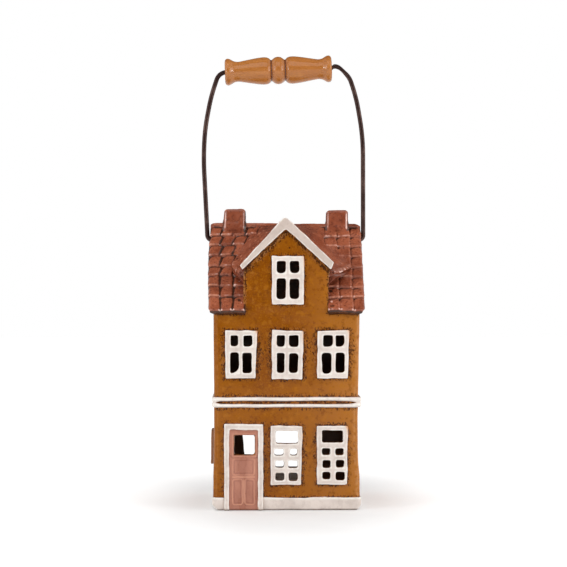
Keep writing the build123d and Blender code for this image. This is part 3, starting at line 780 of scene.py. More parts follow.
def wall_piece(name, outline, holes, placing, voxel, seed):
    """One wall, glazed outside and bare and dark inside."""
    mesh = slab_mesh(outline, holes, WALL)
    mesh.transform(placing @ Matrix.Translation((0, 0, -WALL)))
    obj = clay(
        name,
        mesh,
        [name],
        voxel=voxel,
        rounds=5,
        lump=0.16,
        lump_size=16,
        shape=wall_shape,
        seed=seed,
        wear_and_painted_light=pale_corners,
    )
    points = points_of(obj.data)
    inverse = np.array(placing.inverted())
    depth = points @ inverse[2, :3] + inverse[2, 3]
    put(obj.data, "inner", np.clip((-depth - 1.6) / 1.4, 0, 1))
    put(obj.data, "pale", np.clip((70 - points[:, 2]) / 10, 0, 1) * (name != "back_wall") * (depth < -WALL + 0.8))
    if name == "front_wall":
        put(obj.data, "pool", pool_on_street(points) * (depth > -1.2))
    else:
        band = np.maximum(np.abs(points[:, 2] - BAND_MIDDLE) - 3.1, 0) + (99 if name == "back_wall" else 0)
        plinth = np.maximum(points[:, 2] - 7.8, 0) * 1.6
        distance = np.minimum(band, plinth)
        if name in ("left_wall", "right_wall"):
            along = points[:, 1] * (-1 if name == "left_wall" else 1)
            box = SIDE_BOX if name == "left_wall" else (-SIDE_BOX[2], SIDE_BOX[1], -SIDE_BOX[0], SIDE_BOX[3])
            distance = np.minimum(distance, box_distance(along, points[:, 2], box))
            under = (PIVOT + 5.0 - np.abs(points[:, 1]) * math.tan(PITCH) - points[:, 2]) * math.cos(PITCH)
            distance = np.minimum(distance, np.maximum(under, 0))
        put(obj.data, "pool", np.clip(1 - distance / 4.2, 0, 1) ** 1.2 * (depth > -1.2))
    dress(obj, OCHRE)
    return obj


street_outline = [(-43.9, 0), (43.9, 0), (43.9, 118.2), (25.2, 118.2), (25.2, 138.0), (26.2, 144.5), (0, 171.0)]
street_outline += [(-25.8, 144.0), (-26.1, 134.0), (-26.3, 118.2), (-43.9, 118.2)]
street_outline = hand_drawn(street_outline, 0.8, 0.06, 3)
street_holes = []
for number, (_, panes) in enumerate(STREET_WINDOWS.values()):
    street_holes += pane_loops(panes, 40 * number, 0.15)
street_holes += pane_loops([DOOR_LIGHT], 400)
wall_piece("front_wall", street_outline, street_holes, STREET, 0.56, 21)

side_top = 168.3
side_shoulder = side_top - 40.0 * math.tan(PITCH)
side_outline = [(-40, 0), (40, 0), (40, side_shoulder), (0, side_top), (-40, side_shoulder)]
for name, placing, flip in (("left_wall", LEFT, 1), ("right_wall", RIGHT, -1)):
    panes = [((min(flip * a, flip * c), b, max(flip * a, flip * c), d), r) for (a, b, c, d), r in SIDE_PANES]
    holes = pane_loops(panes, 500 + 30 * flip)
    holes.append([(1.5 * math.cos(t * math.pi / 8), PIVOT + 1.5 * math.sin(t * math.pi / 8)) for t in range(16)])
    wall_piece(name, hand_drawn(side_outline, 0.9, 0.05, 5), holes, placing, 0.62, 22)

back_outline = hand_drawn([(-43.9, 0), (43.9, 0), (43.9, 118.2), (-43.9, 118.2)], 0.9, 0.06, 6)
back_hole = [(-23.6, 17.4), (25.4, 15.4), (26.0, 26.0), (27.2, 38.0), (27.0, 50.0), (21.0, 61.0), (-16.0, 62.0), (-23.8, 52.0)]
back_hole = hand_drawn(back_hole, 0.8, 0.4, 61)
wall_piece("back_wall", back_outline, [back_hole], GARDEN, 0.62, 23)



def widen_left(points):
    """The left cheek stands out a little further than the right one."""
    out = points.copy()
    out[:, 0] -= np.clip((-22.5 - points[:, 0]) / 2.0, 0, 1) * 1.0
    return out


for name in ("dormer_cheek_left", "dormer_cheek_right"):
    cheek = clay(name, node_mesh(name), [name], voxel=0.4, rounds=3, shape=widen_left, seed=24)
    put(cheek.data, "pool", np.full(len(cheek.data.vertices), 0.35))
    put(cheek.data, "inner", np.zeros(len(cheek.data.vertices)))
    put(cheek.data, "pale", np.zeros(len(cheek.data.vertices)))
    dress(cheek, OCHRE)


# Roof

COURSE_LINES = (2.0, 9.4, 17.4, 25.7, 34.4, 42.2, 50.8, 59.0, SLOPE_LENGTH)
COURSES = len(COURSE_LINES) - 1
RIDGE_BAND = COURSE_LINES[0]
TILE_RELIEF = 1.3


def course_line(x, number, seed):
    """Place down the slope of a course's upper edge."""
    base = COURSE_LINES[number]
    if number in (0, COURSES):
        return np.full_like(x, base)
    return base + 0.55 * wave(x + 31 * number, 9, seed) + 0.25 * wave(x + 17 * number, 3.2, seed + 1)


def tile_heights(x, v, seed, width, phase, lean_share, joint_dark, slip, first_tiles):
    """Height of the tiled surface over its envelope, its mark (pale lips and joint edges with painted highlights, dark
    joints with painted shade under the lips), its painted glints, and where it is left plain beside the gable.
    first_tiles counts from the middle, course by course."""
    height = np.zeros_like(x)
    plain = np.zeros_like(x)
    mark = np.zeros_like(x)
    glint = np.zeros_like(x)
    lines = [course_line(x, number, seed) + (slip if number < COURSES else 0) for number in range(COURSES + 1)]
    for number in range(COURSES):
        inside = (v >= lines[number]) & (v < lines[number + 1] + (1e-6 if number < COURSES - 1 else 9))
        span = lines[number + 1] - lines[number]
        t = np.clip((v - lines[number]) / span, 0, 1)
        shift = 0.35 * wave(np.full_like(x, number * 3.1), 2.2, seed + 2) + 0.35 * wave(x + 13 * number, 6, seed + 3)
        slant = lean_share * np.interp(number, (0, 3, 6), (1.0, 0.9, 0.15)) + 0.12 * wave(x * 0.2 + number * 5.7, 1.5, seed + 4)
        across = (x + shift + slant * (t - 0.5) * span + phase) / width
        tile = np.floor(across)
        part = across - tile
        gap = np.minimum(part, 1 - part) * width
        own = hashed(tile.astype(np.int64), np.full(len(x), number, dtype=np.int64), np.zeros(len(x), dtype=np.int64), seed)
        right_side = (1 - part) * width
        left_side = part * width
        rise = -TILE_RELIEF * (0.5 if number == 0 else 1.0) * (1 - t) ** 1.15
        rise += 0.22 * own - 0.1 + 0.22 * (1 - (2 * part - 1) ** 4) + (1 - joint_dark) * 0.6 * (part - 0.5)
        lip = (1 - t) * span
        under = t * span
        rise -= 0.55 * np.exp(-((lip / 0.45) ** 2))
        rise += 0.16 * np.exp(-(((lip - 1.1) / 0.6) ** 2))
        depth = (0.35 + 0.65 * joint_dark) * (0.9 + 0.4 * wave(tile * 1.7 + number * 2.3, 1.0, seed + 6))
        rise -= depth * np.exp(-((gap / 0.55) ** 2))
        hook = np.exp(-((left_side / 1.5) ** 2) - (under / 1.4) ** 2)
        rise -= 0.35 * hook
        # Pale lips, and pale joint edges on the right: painted highlights where the light catches them, with some thin
        # glaze
        wear_and_painted_light = (0.7 + 0.5 * own) * np.exp(-(((lip - 0.4) / 0.4) ** 2))
        wear_and_painted_light += (1 - joint_dark) * 1.1 * np.exp(-(((right_side - 0.6) / 0.4) ** 2))
        # Dark joints; the rest is painted shade under each lip, on the low side of each joint and in the pit at each
        # tile's corner
        pooling_and_shade = joint_dark * 1.8 * np.exp(-((gap / 0.72) ** 2))
        broken = 0.75 + 0.6 * wave(x + 7.7 * number, 3.4, seed + 14)
        pooling_and_shade += (0.5 if number == 0 else 1.4) * broken * np.exp(-((under / (0.65 + 0.75 * own)) ** 2))
        pooling_and_shade += (1 - joint_dark) * 0.5 * np.exp(-((left_side / 0.6) ** 2)) + 1.8 * hook
        # Painted glints at tile corners, in flecks along the lips and at the eave's joints
        corner = np.exp(-(((lip - 0.5) / 0.45) ** 2)) * np.exp(-(((left_side - 1.0) / 0.6) ** 2))
        fleck = np.exp(-(((lip - 0.5) / 0.4) ** 2)) * np.clip(2.2 * wave(x + 5.3 * number, 1.7, seed + 7) - 0.7, 0, 1)
        shine = 0.9 * corner * (own > 0.2) + 0.7 * fleck
        if number == COURSES - 1:
            shine += np.exp(-(((lip - 1.0) / 0.7) ** 2) - ((gap - 0.7) / 0.6) ** 2)
        first = first_tiles[number] if number < len(first_tiles) else 0
        order = np.where(x < 0, -tile, tile)
        rest = order < first
        outer_gap = np.where(x < 0, left_side, right_side)
        seam = np.exp(-((outer_gap / 0.7) ** 2)) * (order == first - 1)
        rise = np.where(rest, -0.5 - 0.5 * seam, rise)
        height = np.where(inside, rise, height)
        mark = np.where(inside, np.where(rest, (0.3 - 1.4 * joint_dark) * seam, wear_and_painted_light - pooling_and_shade), mark)
        glint = np.where(inside, np.where(rest, 0, shine), glint)
        plain = np.where(inside, rest, plain)
    top = v < RIDGE_BAND + slip
    lip = RIDGE_BAND + slip - v
    band = -0.5 * np.exp(-((lip / 0.7) ** 2)) - 0.3 * np.exp(-((v / 0.8) ** 2))
    height = np.where(top, band, height)
    band_mark = 0.45 * np.exp(-(((lip - 0.4) / 0.5) ** 2)) + 0.5 * np.exp(-(((v - 0.7) / 0.6) ** 2))
    mark = np.where(top, band_mark, mark)
    return height, np.clip(mark, -1, 1), np.clip(np.where(top, 0, glint), 0, 1), np.where(top, 1, plain)


def slope_piece(name, x0, x1, facing, keep, seed, tiles):
    """A tiled slope as a closed slab. keep says which grid cells belong to it."""
    nx = int(round((x1 - x0) / 0.42))
    nv = int(round(SLOPE_LENGTH / 0.36))
    gx, gv = np.meshgrid(np.linspace(x0, x1, nx + 1), np.linspace(0, SLOPE_LENGTH, nv + 1), indexing="ij")
    x = gx.ravel()
    v = gv.ravel()
    height, mark, glint, _ = tile_heights(x, v, seed, *tiles)
    verge = VERGE - np.abs(x)
    height -= np.where(x < 0, 0.7, 1.6) * np.exp(-((verge / 2.2) ** 2) - (v / 3.0) ** 2)
    height += 0.6 * np.clip(-x / 12, 0, 1) * np.exp(-((v / 3.0) ** 2))
    height -= 0.9 * np.exp(-((verge / 0.7) ** 2)) + 0.8 * np.exp(-(((SLOPE_LENGTH - v) / 0.7) ** 2))
    flat = np.stack([x, v, np.full_like(x, seed)], axis=1)
    height += 0.24 * lumps(flat, 7, seed + 8) + 0.12 * lumps(flat, 1.8, seed + 9)
    ragged = 0.2 * wave(v, 4.5, seed + 10) * np.exp(-((verge / 3.0) ** 2)) * np.sign(x)
    step_out = np.zeros_like(v)
    for upper, lower in zip(COURSE_LINES, COURSE_LINES[1:]):
        step_out = np.where((v >= upper) & (v < lower), ((v - upper) / (lower - upper)) ** 2 - 0.4, step_out)
    ragged += 0.15 * step_out * np.exp(-((verge / 1.5) ** 2)) * np.sign(x)
    end = SLOPE_LENGTH - v
    left_spread = 0.4 * np.clip((v - 10) / 12, 0, 1) * np.clip(1.6 - v / 40, 0, 1)
    right_spread = 0.25 * np.clip(v / 10, 0, 1) * np.clip(end / 20, 0, 1)
    spread = np.where(x < 0, left_spread, right_spread)
    turned = np.where(x < 0, 0.9, 1.7) * np.exp(-((end / 1.3) ** 2))
    ragged += (spread - turned) * np.exp(-((verge / 2.5) ** 2)) * np.sign(x)
    ragged -= np.where(x < 0, 0.7 * np.sin(np.pi * v / SLOPE_LENGTH) * np.exp(-((verge / 9.0) ** 2)), 0) * (facing < 0)
    # Along the junction with the gable wall: dark specks where glaze pools, and painted glints
    junction = np.exp(-(((np.abs(x) - np.where(x < 0, 28.4, 27.0)) / 1.5) ** 2)) * (v > 36) * (facing < 0)
    mark = np.clip(mark - 1.6 * junction * np.clip(2.6 * lumps(flat, 2.4, seed + 20) - 0.6, 0, 1), -1, 1)
    glint = np.clip(glint + junction * np.clip(2.6 * lumps(flat, 1.7, seed + 21) - 0.9, 0, 1), 0, 1)
    # Painted shade on the eave's end face
    mark = np.where(end < 0.5, -1, mark)
    glint = np.where(end < 0.5, 0, glint)
    droop = 0.5 * wave(x, 8.0, seed + 12) * np.exp(-(((SLOPE_LENGTH - v) / 4.0) ** 2))
    run = v + droop
    y = facing * run * math.cos(PITCH)
    z = RIDGE - run * math.sin(PITCH)
    top = np.stack([x + ragged, y + facing * height * math.sin(PITCH), z + height * math.cos(PITCH)], axis=1)
    sunk = -ROOF_THICKNESS
    inward = np.sign(x) * 2.6 * np.exp(-((verge / 2.6) ** 2))
    bottom = np.stack([x + ragged - inward, y + facing * sunk * math.sin(PITCH), z + sunk * math.cos(PITCH)], axis=1)
    cells = keep(0.25 * (gx[:-1, :-1] + gx[1:, :-1] + gx[:-1, 1:] + gx[1:, 1:]), gv[:-1, :-1])
    shift = len(x)

    def index(i, j):
        return i * (nv + 1) + j

    faces = []
    for i in range(nx):
        for j in range(nv):
            if not cells[i, j]:
                continue
            a, b, c, d = index(i, j), index(i + 1, j), index(i + 1, j + 1), index(i, j + 1)
            ring = (a, b, c, d) if facing > 0 else (d, c, b, a)
            ring = ring[::-1]
            faces.append(ring)
            faces.append(tuple(k + shift for k in reversed(ring)))
            neighbours = ((i - 1, j, d, a), (i + 1, j, b, c), (i, j - 1, a, b), (i, j + 1, c, d))
            for ni, nj, p, q in neighbours:
                if not (0 <= ni < nx and 0 <= nj < nv) or not cells[ni, nj]:
                    side = (p, q, q + shift, p + shift)
                    faces.append(side if facing > 0 else side[::-1])
    used = np.unique(np.array(faces).ravel())
    renumber = np.zeros(2 * shift, dtype=int)
    renumber[used] = np.arange(len(used))
    verts = np.concatenate([top, bottom])[used]
    faces = [tuple(renumber[list(face)]) for face in faces]
    obj = new_object(name, verts, faces)
    # Painted shade on the underside
    put(obj.data, "edge", np.concatenate([mark, np.full(shift, -0.9)])[used])
    put(obj.data, "glint", np.concatenate([glint, np.zeros(shift)])[used])
    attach(obj, "house")
    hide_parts(name)
    dress(obj, ROOF)
    return obj


# Where each valley of the street gable's roof starts on the ridge, and its lower end (x, y)
VALLEYS = {-1: (18.2, (33.4, -21.2)), 1: (23.6, (39.8, -22.6))}


def beside_gable(side):
    top, (foot_x, foot_y) = VALLEYS[side]

    def keep(x, v):
        valley = top + (foot_x - top) * v * math.cos(PITCH) / -foot_y
        return side * x > np.where(v < 20, valley - 6.0, 24.9)

    return keep


# Tile width, place of the first joint, lean, darkness of the joints, slip of the courses, first tiles
LEFT_TILES = (7.7, 1.2, 0.3, 1.0, 0.2, (3, 4, 5, 5))
RIGHT_TILES = (8.1, 0.3, -0.04, 0.25, 1.5, (3, 3, 4, 5))
BACK_TILES = (7.6, 1.5, 0.1, 0.6, 0.5, ())
slope_piece("roof_front_left", -VERGE, 0, -1, beside_gable(-1), 71, LEFT_TILES)
slope_piece("roof_front_right", 0, VERGE, -1, beside_gable(1), 72, RIGHT_TILES)
slope_piece("roof_back", -VERGE, VERGE, 1, lambda x, v: np.ones_like(x, dtype=bool), 73, BACK_TILES)


def sheet(name, grid, drop):
    """A closed sheet from a grid of points, as thick as the drop below them."""
    rows, columns, _ = grid.shape
    top = grid.reshape(-1, 3)
    count = len(top)
    faces = []
    for i in range(rows - 1):
        for j in range(columns - 1):
            a = i * columns + j
            face = (a, a + 1, a + columns + 1, a + columns)
            faces.append(face)
            faces.append(tuple(k + count for k in reversed(face)))
    ring = [j for j in range(columns)]
    ring += [i * columns + columns - 1 for i in range(1, rows)]
    ring += [(rows - 1) * columns + j for j in range(columns - 2, -1, -1)]
    ring += [i * columns for i in range(rows - 2, 0, -1)]
    for p, q in zip(ring, ring[1:] + ring[:1]):
        faces.append((q, p, p + count, q + count))
    obj = new_object(name, np.concatenate([top, top + np.array(drop)]), faces)
    bm = bmesh.new()
    bm.from_mesh(obj.data)
    bmesh.ops.recalc_face_normals(bm, faces=bm.faces)
    bm.to_mesh(obj.data)
    bm.free()
    return obj


def smooth_roof(name, side, seed, tile_seed, tiles):
    """Half of the street gable's roof: plain, with soft valleys where it was pressed onto the tiles."""
    share = np.linspace(0, 1, 90)
    top, (foot_x, foot_y) = VALLEYS[side]
    apex = np.array([0.0, -HALF_DEPTH, GABLE_APEX - 3.4])
    foot = np.array([GABLE_SPAN, -HALF_DEPTH, GABLE_FOOT - 3.4])
    front = apex + share[:, None] * (foot - apex)
    sunk = 0.75
    ridge_end = np.array([top, -0.3, RIDGE - sunk])
    low = np.array([foot_x, foot_y, RIDGE + foot_y * math.tan(PITCH) - sunk])
    along_ridge = np.clip(share / 0.42, 0, 1)[:, None]
    down = np.clip((share - 0.42) / 0.58, 0, 1)[:, None]
    start = np.array([0.0, -0.3, RIDGE - 0.45])
    back = start + along_ridge * (ridge_end - start) + down * (low - ridge_end)
    t = np.linspace(0, 1, 70)[None, :, None]
    grid = front[:, None, :] * (1 - t) + back[:, None, :] * t
    over_tiles = grid[..., 2] - (RIDGE + grid[..., 1] * math.tan(PITCH))
    last = over_tiles[:, -1:]
    ease = 1 + 0.22 * np.clip(share / 0.45, 0, 1)[:, None] ** 2
    eased = last + (over_tiles[:, :1] - last) * (1 - t[..., 0]) ** ease
    grid[..., 2] += eased - over_tiles
    for _ in range(40):
        inside = 0.25 * (grid[:-2, 1:-1] + grid[2:, 1:-1] + grid[1:-1, :-2] + grid[1:-1, 2:])
        grid[1:-1, 1:-1] = inside
    down_slope = (RIDGE - grid[..., 2].ravel()) / math.sin(PITCH)
    tile, tile_mark, tile_glint, plain = tile_heights(side * grid[..., 0].ravel(), down_slope, tile_seed, *tiles)
    tiled = (1 - plain).reshape(grid.shape[:2]) * np.clip(t[..., 0] * 4 - 0.6, 0, 1)
    tiled[81:] = 0
    grid[..., 1] -= tiled * (tile.reshape(tiled.shape) + 0.5) * math.sin(PITCH)
    grid[..., 2] += tiled * (tile.reshape(tiled.shape) + 0.5) * math.cos(PITCH)
    edge = grid[-1]
    lip = []
    for u in np.linspace(0.08, 1, 16):
        row = edge.copy()
        row[:, 0] = edge[:, 0] + 0.4 * math.sin(math.pi * min(u * 3, 1)) - (edge[:, 0] - 24.4) * max(u - 0.15, 0) / 0.85
        row[:, 1] = np.maximum(edge[:, 1], -HALF_DEPTH + 1.8)
        drop = np.interp(edge[:, 0], (28.5, 32.0, 34.0, 36.0), (6.0, 5.0, 2.5, 0.8))
        row[:, 2] = edge[:, 2] - drop * math.sin(u * math.pi / 2)
        lip.append(row)
    grid = np.concatenate([grid, np.array(lip)])
    inner = grid[:, :1].copy()
    inner[:90, :, 2] -= 3.0
    inner[:, :, 0] = np.minimum(inner[:, :, 0], 23.5)
    inner[:, :, 1] += 2.4
    grid = np.concatenate([inner, grid], axis=1)
    flat = grid.reshape(-1, 3)
    ragged = np.zeros(grid.shape[:2])
    ragged[84:96] = 1
    rough = 0.35 * lumps(flat, 7, seed) + (0.14 + 0.3 * ragged.ravel()) * lumps(flat * (1, 0.4, 1), 2.2, seed + 1)
    flat[:, 2] += rough * 0.75
    flat[:, 0] += rough * 0.3
    grid = flat.reshape(grid.shape)
    grid[..., 0] *= side
    obj = sheet(name, grid, (0, 0.2, -2.4))
    count = grid.shape[0] * grid.shape[1]
    place = grid.reshape(-1, 3)
    mottled = (0.9 if side < 0 else 0.6) * lumps(place, 1.7, seed + 5).reshape(grid.shape[:2])
    mark = np.zeros(grid.shape[:2])
    mark[:90, 1:] = tiled * tile_mark.reshape(tiled.shape) + (1 - tiled) * mottled[:90, 1:]
    # A painted highlight along the lip's bead; painted shade on the inner cove and under the lip
    mark[86:93] = 0.45
    mark[:, :4] = -0.4
    mark[95:] = -0.8
    put(obj.data, "edge", np.concatenate([mark.ravel(), np.full(count, -0.5)]))
    # Painted glints along the lip's bead
    glint = np.zeros(grid.shape[:2])
    glint[88:95] = 1
    glint *= np.clip(2.4 * lumps(place, 1.7, seed + 2) - 0.9, 0, 1).reshape(glint.shape)
    glint[:90, 1:] = np.maximum(glint[:90, 1:], tiled * tile_glint.reshape(tiled.shape))
    glint = glint.ravel()
    put(obj.data, "glint", np.concatenate([glint, np.zeros(count)]))
    # Painted shade: the plain part darker, more on the left half
    dull_and_shade = np.zeros(grid.shape[:2])
    dull_and_shade[:90, 1:] = (0.95 if side < 0 else 0.7) * (1 - tiled)
    put(obj.data, "dull_and_shade", np.concatenate([dull_and_shade.ravel(), np.zeros(count)]))
    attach(obj, "house")
    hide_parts(name)
    dress(obj, ROOF)


smooth_roof("dormer_roof_left", -1, 31, 71, LEFT_TILES)
smooth_roof("dormer_roof_right", 1, 35, 72, RIGHT_TILES)



CHIMNEY_MIDDLE = 32.2
CHIMNEY_HALF = 6.9
CHIMNEY_DEPTH = 6.7


def chimney_shape(shift, lift):
    """Rounds a chimney's corners, draws its face back, leans its head and spreads its foot on the tiles."""

    def rounded(a, b, radius):
        both = (a > 0) & (b > 0)
        scale = np.where(both, np.minimum(1, radius / np.maximum(np.hypot(a, b), 1e-6)), 1)
        return a * scale, b * scale

    def shape(points):
        side = np.sign(points[:, 0])
        across = points[:, 0] - side * CHIMNEY_MIDDLE
        way = np.sign(across)
        dx, dy = rounded(np.abs(across) - CHIMNEY_HALF + 3.2, np.abs(points[:, 1]) - CHIMNEY_DEPTH + 3.2, 3.2)
        top = points[:, 2].max()
        dx, dz = rounded(dx - 0.7, points[:, 2] - top + 2.5, 2.5)
        x = way * (CHIMNEY_HALF - 2.5 + dx)
        y = np.sign(points[:, 1]) * (CHIMNEY_DEPTH - 3.2 + dy)
        y = np.where(y < 0, 0.66 * y, y)
        z = top - 2.5 + dz
        foot = np.clip(1 - (z - RIDGE + np.abs(y) * math.tan(PITCH)) / 3.2, 0, 1) ** 2
        head = np.clip((z - RIDGE + 6) / 14, 0, 1)
        x = x * (1 + 0.1 * foot) + side * CHIMNEY_MIDDLE + shift * head
        return np.stack([x, y - 0.3 * foot * (y < 0), z + lift * head], axis=1)

    return shape


def chimney_streak(points, shift):
    """Signed distance in from a chimney's upright edges, negative on the left half, on its face only."""
    head = np.clip((points[:, 2] - RIDGE + 6) / 14, 0, 1)
    across = points[:, 0] - CHIMNEY_MIDDLE * np.sign(points[:, 0]) - shift * head
    return across, np.clip((-points[:, 1] - 0.4) / 1.0, 0, 1)


# shines: strength of the painted highlight streaks on each chimney's left and right edges
for name, shift, lift, shines in (("chimney_left", 0.6, 0.4, (0.85, 0.7)), ("chimney_right", 0.1, -0.3, (0.8, 1.4))):

    # Painted light on the chimney's face: a highlight streak inside each upright edge, and painted shade on the
    # outermost rim, over the left chimney's right side and near the foot
    def painted_edge_light(points):
        across, face = chimney_streak(points, shift)
        inset = CHIMNEY_HALF - np.abs(across)
        foot = np.clip((RIDGE - 2.5 - points[:, 2]) / 2, 0, 1)
        edges = 0.5 * np.exp(-(((inset - 1.15) / 0.5) ** 2)) - 1.1 * np.exp(-((inset / 0.55) ** 2))
        edges -= 1.2 * np.exp(-((inset / 0.9) ** 2)) * (across > 0) * (points[:, 0] < 0)
        return face * (edges - 0.45 * foot)

    chimney = clay(
        name,
        node_mesh(name),
        [name],
        voxel=0.36,
        rounds=8,
        lump=0.3,
        lump_size=7,
        shape=chimney_shape(shift, lift),
        seed=33,
        wear_and_painted_light=painted_edge_light,
    )
    points = points_of(chimney.data)
    across, face = chimney_streak(points, shift)
    # Painted highlight streaks down the upright edges, stronger on the outer side of each chimney
    shine = np.where(across < 0, shines[0], shines[1]) * (0.85 + 0.3 * lumps(points, 4, 34))
    level = np.clip((points[:, 2] - RIDGE + 4.5) / 2, 0, 1) * np.clip((points[:, 2].max() - 1.6 - points[:, 2]) / 1.2, 0, 1)
    put(chimney.data, "glint", face * level * shine * np.exp(-(((CHIMNEY_HALF - np.abs(across) - 1.15) / 0.5) ** 2)))
    # Painted shade: the left chimney darker than the right one
    put(chimney.data, "dull_and_shade", np.full(len(points), 0.9 if shift > 0.3 else 0.2))
    dress(chimney, ROOF)


# White relief


def relief_piece(
    name, mesh, nodes, placing, relief, material, voxel=0.34, rounds=5, seed=1, creep=1.0, shape=None
):
    """A flat strip or frame laid on a wall. It starts just inside the wall."""
    mesh.transform(placing @ Matrix.Translation((0, 0, -0.6)))
    obj = clay(
        name,
        mesh,
        nodes,
        voxel=voxel,
        rounds=rounds,
        lump=0.14,
        lump_size=5,
        shape=shape,
        seed=seed,
        edge_reach=0.2,
    )
    points = points_of(obj.data)
    inverse = np.array(placing.inverted())
    rise = points @ inverse[2, :3] + inverse[2, 3]
    put(obj.data, "foot", np.clip(creep - rise / (0.75 * relief), 0, 1))
    dress(obj, material)
    return obj


def rim_highlight_values(x, y, corners, panes):
    """1 along the edges of a frame and of its panes, where a highlight is painted."""
    distance = np.full(len(x), 99.0)
    for (a, b), (c, d) in zip(corners, corners[1:] + corners[:1]):
        distance = np.minimum(distance, line_distance(x, y, (a, b), (c, d)))
    for box, _ in panes:
        distance = np.minimum(distance, np.abs(box_distance(x, y, box)))
    return np.exp(-(((distance - 0.35) / 0.5) ** 2))


for number, (name, (corners, panes)) in enumerate(STREET_WINDOWS.items()):
    outline = hand_drawn(corners, 0.6, 0.28, 90 + number)
    mesh = slab_mesh(outline, pane_loops(panes, 40 * number, 0.15), FRAME_RELIEF + 0.6)
    piece = relief_piece(name, mesh, [name], STREET, FRAME_RELIEF, WHITE, seed=100 + number)
    points = points_of(piece.data)
    # Painted highlight along the frame's and panes' edges
    put(piece.data, "rim", rim_highlight_values(points[:, 0], points[:, 2], corners, panes))
    right_edge = line_distance(points[:, 0], points[:, 2], corners[1], corners[2])
    from_top = np.hypot(points[:, 0] - corners[2][0], points[:, 2] - corners[2][1])
    amber = np.exp(-((right_edge / 0.6) ** 2)) * np.exp(-((from_top / 9.0) ** 2)) + np.exp(-((from_top / 1.5) ** 2))
    put(piece.data, "amber", np.clip(amber, 0, 1) * (0.5 + 0.5 * lumps(points, 4, 95 + number)))

for name, placing, flip in (("side_window_left", LEFT, 1), ("side_window_right", RIGHT, -1)):
    panes = [((min(flip * a, flip * c), b, max(flip * a, flip * c), d), r) for (a, b, c, d), r in SIDE_PANES]
    box = (min(flip * SIDE_BOX[0], flip * SIDE_BOX[2]), SIDE_BOX[1], max(flip * SIDE_BOX[0], flip * SIDE_BOX[2]), SIDE_BOX[3])
    outline = rounded_box(*box, (0.6, 0.6, 0.6, 0.6), step=0.6, wobble=0.2, seed=120 + flip)
    mesh = slab_mesh(outline, pane_loops(panes, 500 + 30 * flip), FRAME_RELIEF + 0.6)
    relief_piece(name, mesh, [name], placing, FRAME_RELIEF, WHITE, seed=122 + flip, creep=1.9, shape=side_frame_shape)

x0, y0, x1, y1 = DOOR_BOX
l0, _, l1, l2 = LEAF_BOX
door_ring = [(x0, 0), (l0, 0), (l0 + 0.2, l2), (l1 - 0.1, l2 - 0.2), (l1, 0), (x1, 0), (x1 - 0.1, y1 - 0.4), (x0, y1)]
mesh = slab_mesh(hand_drawn(door_ring, 0.6, 0.22, 130), [], FRAME_RELIEF + 0.6)
door_frame = relief_piece("door_frame", mesh, ["door_frame"], STREET, FRAME_RELIEF, WHITE, seed=131)
points = points_of(door_frame.data)
door_corners = ((x0, -9.0), (x1, -9.0), (x1, y1 - 0.4), (x0, y1))
# Painted highlight along the frame's edges
put(door_frame.data, "rim", rim_highlight_values(points[:, 0], points[:, 2], door_corners, [(LEAF_BOX, None)]))
put(door_frame.data, "base", bare_foot_shadow(points))

trim_outer = [(-28.2, 146.6), (-1.8, 175.6), (0.2, 175.4), (28.2, 148.6)]
trim_inner = [(26.4, 144.2), (-0.1, 168.4), (-1.0, 168.3), (-26.7, 144.2)]
mesh = slab_mesh(hand_drawn(trim_outer + trim_inner, 0.7, 0.22, 140), [], TRIM_RELIEF + 0.6)
trim_nodes = ["gable_trim_left", "gable_trim_right"]
trim = relief_piece("gable_trim", mesh, trim_nodes, STREET, TRIM_RELIEF, WHITE, voxel=0.38, rounds=6, seed=141)
put(trim.data, "dull_and_shade", np.ones(len(trim.data.vertices)))

plinth_nodes = ["plinth_front_left", "plinth_front_right", "plinth_left", "plinth_right", "plinth_back"]


def tube_mesh(path, radii, squash, sides=14):
    """A roll of clay along level points (x, y, z) in millimetres, standing out by squash from the wall."""
    verts = []
    faces = []
    path = np.array(path, dtype=float)
    ahead = np.gradient(path, axis=0)
    ahead[:, 2] = 0
    ahead /= np.linalg.norm(ahead, axis=1)[:, None]
    for (x, y, z), (dx, dy, _), radius in zip(path, ahead, radii):
        for k in range(sides):
            turn = 2 * math.pi * k / sides
            out = squash * math.cos(turn)
            verts.append((x + dy * out, y - dx * out, z + radius * math.sin(turn)))
    count = len(path)
    for i in range(count - 1):
        for k in range(sides):
            a = i * sides + k
            b = i * sides + (k + 1) % sides
            faces.append((a, b, b + sides, a + sides))
    faces.append(tuple(range(sides))[::-1])
    faces.append(tuple(range((count - 1) * sides, count * sides)))
    mesh = bpy.data.meshes.new("roll")
    mesh.from_pydata(verts, [], faces)
    return mesh


def around_front(offset):
    """Level path from the back left corner round the street front to the back right corner."""
    radius = 2.4
    x = HALF_WIDTH + offset
    y = HALF_DEPTH + offset
    path = [(-x, t) for t in np.linspace(HALF_DEPTH - 0.5, -y + radius, 90)]
    path += [(-x + radius - radius * math.cos(a), -y + radius - radius * math.sin(a)) for a in np.linspace(0.2, 1.37, 6)]
    path += [(t, -y) for t in np.linspace(-x + radius, x - radius, 110)]
    path += [(x - radius + radius * math.sin(a), -y + radius - radius * math.cos(a)) for a in np.linspace(0.2, 1.37, 6)]
    path += [(x, t) for t in np.linspace(-y + radius, HALF_DEPTH - 0.5, 90)]
    return np.array(path)


